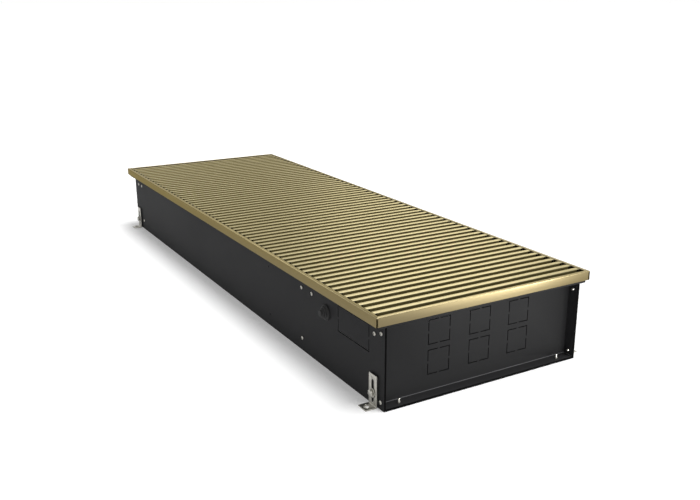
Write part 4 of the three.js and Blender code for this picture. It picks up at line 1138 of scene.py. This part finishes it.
class HEATER_OT_fan(bpy.types.Operator):
    """Makes the cross-flow fan: wheels, shaft, motor, bearings and scroll housings"""
    bl_idname = "heater.fan"
    bl_label = "Fan"

    def wheel(self, low, high):
        sizes = settings().inside
        axis_y, axis_z = (low.y + high.y) / 2, (low.z + high.z) / 2
        rim = (high.z - low.z) / 2
        bm = bmesh.new()
        disc = 1.6 * MM
        run = high.x - low.x - disc
        last = sizes.wheel_discs - 1
        for step in range(last + 1):
            x = low.x + run * step / last
            bore = 4.6 * MM if step in (0, last) else rim - sizes.blade_depth - 3 * MM
            turned(bm, [
                (bore, 0), (rim, 0), (rim, disc), (bore, disc), (bore, 0),
            ], (x, axis_y, axis_z), (1, 0, 0), steps=40)
        blade = bmesh.new()
        outer, inner = rim - 0.3 * MM, rim - sizes.blade_depth
        bend = 5
        for thickness, way in ((0.35 * MM, 1), (-0.35 * MM, -1)):
            for step in range(bend + 1)[::way]:
                share = step / bend
                radius = inner + (outer - inner) * share
                turn = math.radians(16) * share ** 2 + thickness / radius
                blade.verts.new((0, radius * math.sin(turn), radius * math.cos(turn)))
        blade.verts.ensure_lookup_table()
        face = blade.faces.new(blade.verts)
        extruded = bmesh.ops.extrude_face_region(blade, geom=[face])["geom"]
        ends = [item for item in extruded if isinstance(item, bmesh.types.BMVert)]
        bmesh.ops.translate(blade, vec=(run, 0, 0), verts=ends)
        bmesh.ops.recalc_face_normals(blade, faces=blade.faces)
        shape = mesh_from("blade_shape", blade)
        for step in range(sizes.blades):
            turn = Matrix.Rotation(math.tau * step / sizes.blades, 4, "X")
            place = Matrix.Translation((low.x + disc / 2, axis_y, axis_z)) @ turn
            add_copy(bm, shape, place)
        bpy.data.meshes.remove(shape)
        return bm

    def execute(self, context):
        for end in ENDS:
            node = f"fan_wheel_{end}"
            wheel = self.wheel(*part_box(node))
            piece(f"wheel_{end}", wheel, "sleeve_plastic", [node], body="fan_rotor")
            dressed(f"fan_bearing_{end}", f"bearing_{end}", "galvanised_sheet", 0.3 * MM, 1)
            dressed(f"fan_housing_{end}", f"scroll_{end}", "galvanised_sheet")
        low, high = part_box("fan_shaft")
        middle = (low + high) / 2
        radius, run = 3.75 * MM, high.x - low.x
        shaft = bmesh.new()
        turned(shaft, [
            (0, 0), (radius - 0.5 * MM, 0), (radius, 0.5 * MM), (radius, run - 0.5 * MM),
            (radius - 0.5 * MM, run), (0, run),
        ], (low.x, middle.y, middle.z), (1, 0, 0), steps=24)
        piece("shaft", shaft, "bright_steel", ["fan_shaft"], body="fan_rotor")
        low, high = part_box("fan_motor")
        middle = (low + high) / 2
        motor = bmesh.new()
        case = (high.y - low.y) / 2
        run = high.x - low.x
        bore = 4.5 * MM
        profile = [
            (bore, 0), (12 * MM, 0), (13 * MM, 3 * MM), (case - 4 * MM, 4 * MM),
            (case - 1 * MM, 7 * MM), (case - 1 * MM, 14 * MM), (case, 15 * MM),
            (case, run - 15 * MM), (case - 1 * MM, run - 14 * MM), (case - 1 * MM, run - 7 * MM),
            (case - 4 * MM, run - 4 * MM), (13 * MM, run - 3 * MM), (12 * MM, run), (bore, run),
            (bore, 0),
        ]
        turned(motor, profile, (low.x, middle.y, middle.z), (1, 0, 0), steps=48)
        piece("motor", motor, "galvanised_sheet", ["fan_motor"])
        dressed("motor_cradle", "cradle", "galvanised_sheet", 0.3 * MM, 1)
        return {"FINISHED"}


class HEATER_OT_stage(bpy.types.Operator):
    """Sets up the pale floor, the soft studio light and the camera"""
    bl_idname = "heater.stage"
    bl_label = "Stage"

    def camera(self):
        stage = settings().stage
        data = bpy.data.cameras.new("camera")
        data.sensor_width = 36
        data.lens = stage.lens
        data.clip_end = 200
        eye = linked("camera", data)
        turn, rise = stage.azimuth, stage.elevation
        back = Vector((
            math.sin(turn) * math.cos(rise), -math.cos(turn) * math.cos(rise), math.sin(rise),
        ))
        eye.location = stage.camera
        eye.rotation_euler = (-back).to_track_quat("-Z", "Y").to_euler()
        bpy.context.scene.camera = eye

    def seen(self, finish):
        """1 for rays that show the background, straight or in metal or glass."""
        rays = "ShaderNodeLightPath"
        seen = [finish.node(rays, out=f"Is {kind} Ray") for kind in (
            "Camera", "Glossy", "Transmission",
        )]
        return seen[0] + seen[1] + seen[2]

    def floor(self):
        bm = bmesh.new()
        bmesh.ops.create_grid(bm, x_segments=1, y_segments=1, size=60)
        mesh = mesh_from("floor", bm)
        floor = linked("floor", mesh)
        finish = Finish("floor")
        lit = finish.node(
            "ShaderNodeBsdfDiffuse", inputs={"Color": settings().stage.floor},
        )
        white = finish.node("ShaderNodeEmission", inputs={"Strength": self.seen(finish) * 0.2})
        both = finish.node("ShaderNodeAddShader", inputs={0: lit, 1: white})
        finish.node("ShaderNodeOutputMaterial", inputs={"Surface": both})
        mesh.materials.append(finish.material)

    def world(self):
        world = bpy.data.worlds.new("studio")
        bpy.context.scene.world = world
        world.use_nodes = True
        finish = Finish.__new__(Finish)
        finish.tree = world.node_tree
        finish.tree.nodes.clear()
        seen = self.seen(finish)
        back = finish.node(
            "ShaderNodeBackground", inputs={"Color": (1, 1, 1, 1), "Strength": 0.32 + 0.68 * seen},
        )
        finish.node("ShaderNodeOutputWorld", inputs={"Surface": back})

    def lamp(self, name, place, target, size, watts, kind="AREA"):
        data = bpy.data.lights.new(name, kind)
        data.energy = watts
        if kind == "AREA":
            data.shape = "RECTANGLE"
            data.size, data.size_y = size
        else:
            data.angle = math.radians(size)
        lamp = linked(name, data)
        lamp.visible_camera = False
        lamp.location = place
        lamp.rotation_euler = (Vector(target) - Vector(place)).to_track_quat("-Z", "Y").to_euler()
        return lamp

    def execute(self, context):
        self.camera()
        self.floor()
        self.world()
        self.lamp("key", (0.6, 0.45, 3.0), (0, 0, 0), 24, 2.35, "SUN")
        self.lamp("fill", (-0.2, -1.0, 0.35), (0, 0, 0), 90, 0.3, "SUN")
        self.lamp("back", (-1.3, 1.35, 1.3), (0.5, 0.0, 0.15), (1.0, 0.7), 6.5)
        front = self.lamp("front", (0.9, 0.2, 0.07), (0.6, 0.0, 0.142), (0.3, 0.1), 3.7)
        front.visible_diffuse = False
        bpy.context.scene.view_settings.view_transform = "Standard"
        return {"FINISHED"}


MAKERS = (
    HEATER_OT_stage, HEATER_OT_casing, HEATER_OT_frame, HEATER_OT_grille, HEATER_OT_brackets,
    HEATER_OT_grommet, HEATER_OT_compartment, HEATER_OT_exchanger, HEATER_OT_fan,
)


class HEATER_PT_panel(bpy.types.Panel):
    """Lists the heater's pieces, sizes and colours"""
    bl_idname = "HEATER_PT_panel"
    bl_label = "Trench Heater"
    bl_space_type = "VIEW_3D"
    bl_region_type = "UI"
    bl_category = "Trench Heater"

    def draw(self, context):
        heater = context.scene.heater
        for name in ("grille", "inside", "fasteners", "colours", "stage"):
            box = self.layout.box()
            box.label(text=name.capitalize())
            group = getattr(heater, name)
            for prop in group.bl_rna.properties:
                if prop.identifier not in {"rna_type", "name"}:
                    box.prop(group, prop.identifier)
        for maker in MAKERS:
            self.layout.operator(maker.bl_idname)


CLASSES = (
    HeaterGrilleSizes, HeaterInsideSizes, HeaterFastenerSizes, HeaterColours,
    HeaterStageSettings, HeaterSettings, *MAKERS, HEATER_PT_panel,
)


def register():
    for cls in CLASSES:
        bpy.utils.register_class(cls)
    bpy.types.Scene.heater = PointerProperty(type=HeaterSettings)


def unregister():
    del bpy.types.Scene.heater
    for cls in reversed(CLASSES):
        bpy.utils.unregister_class(cls)


def main():
    register()
    for maker in MAKERS:
        group, name = maker.bl_idname.split(".")
        getattr(getattr(bpy.ops, group), name)()


if __name__ == "__main__":
    main()
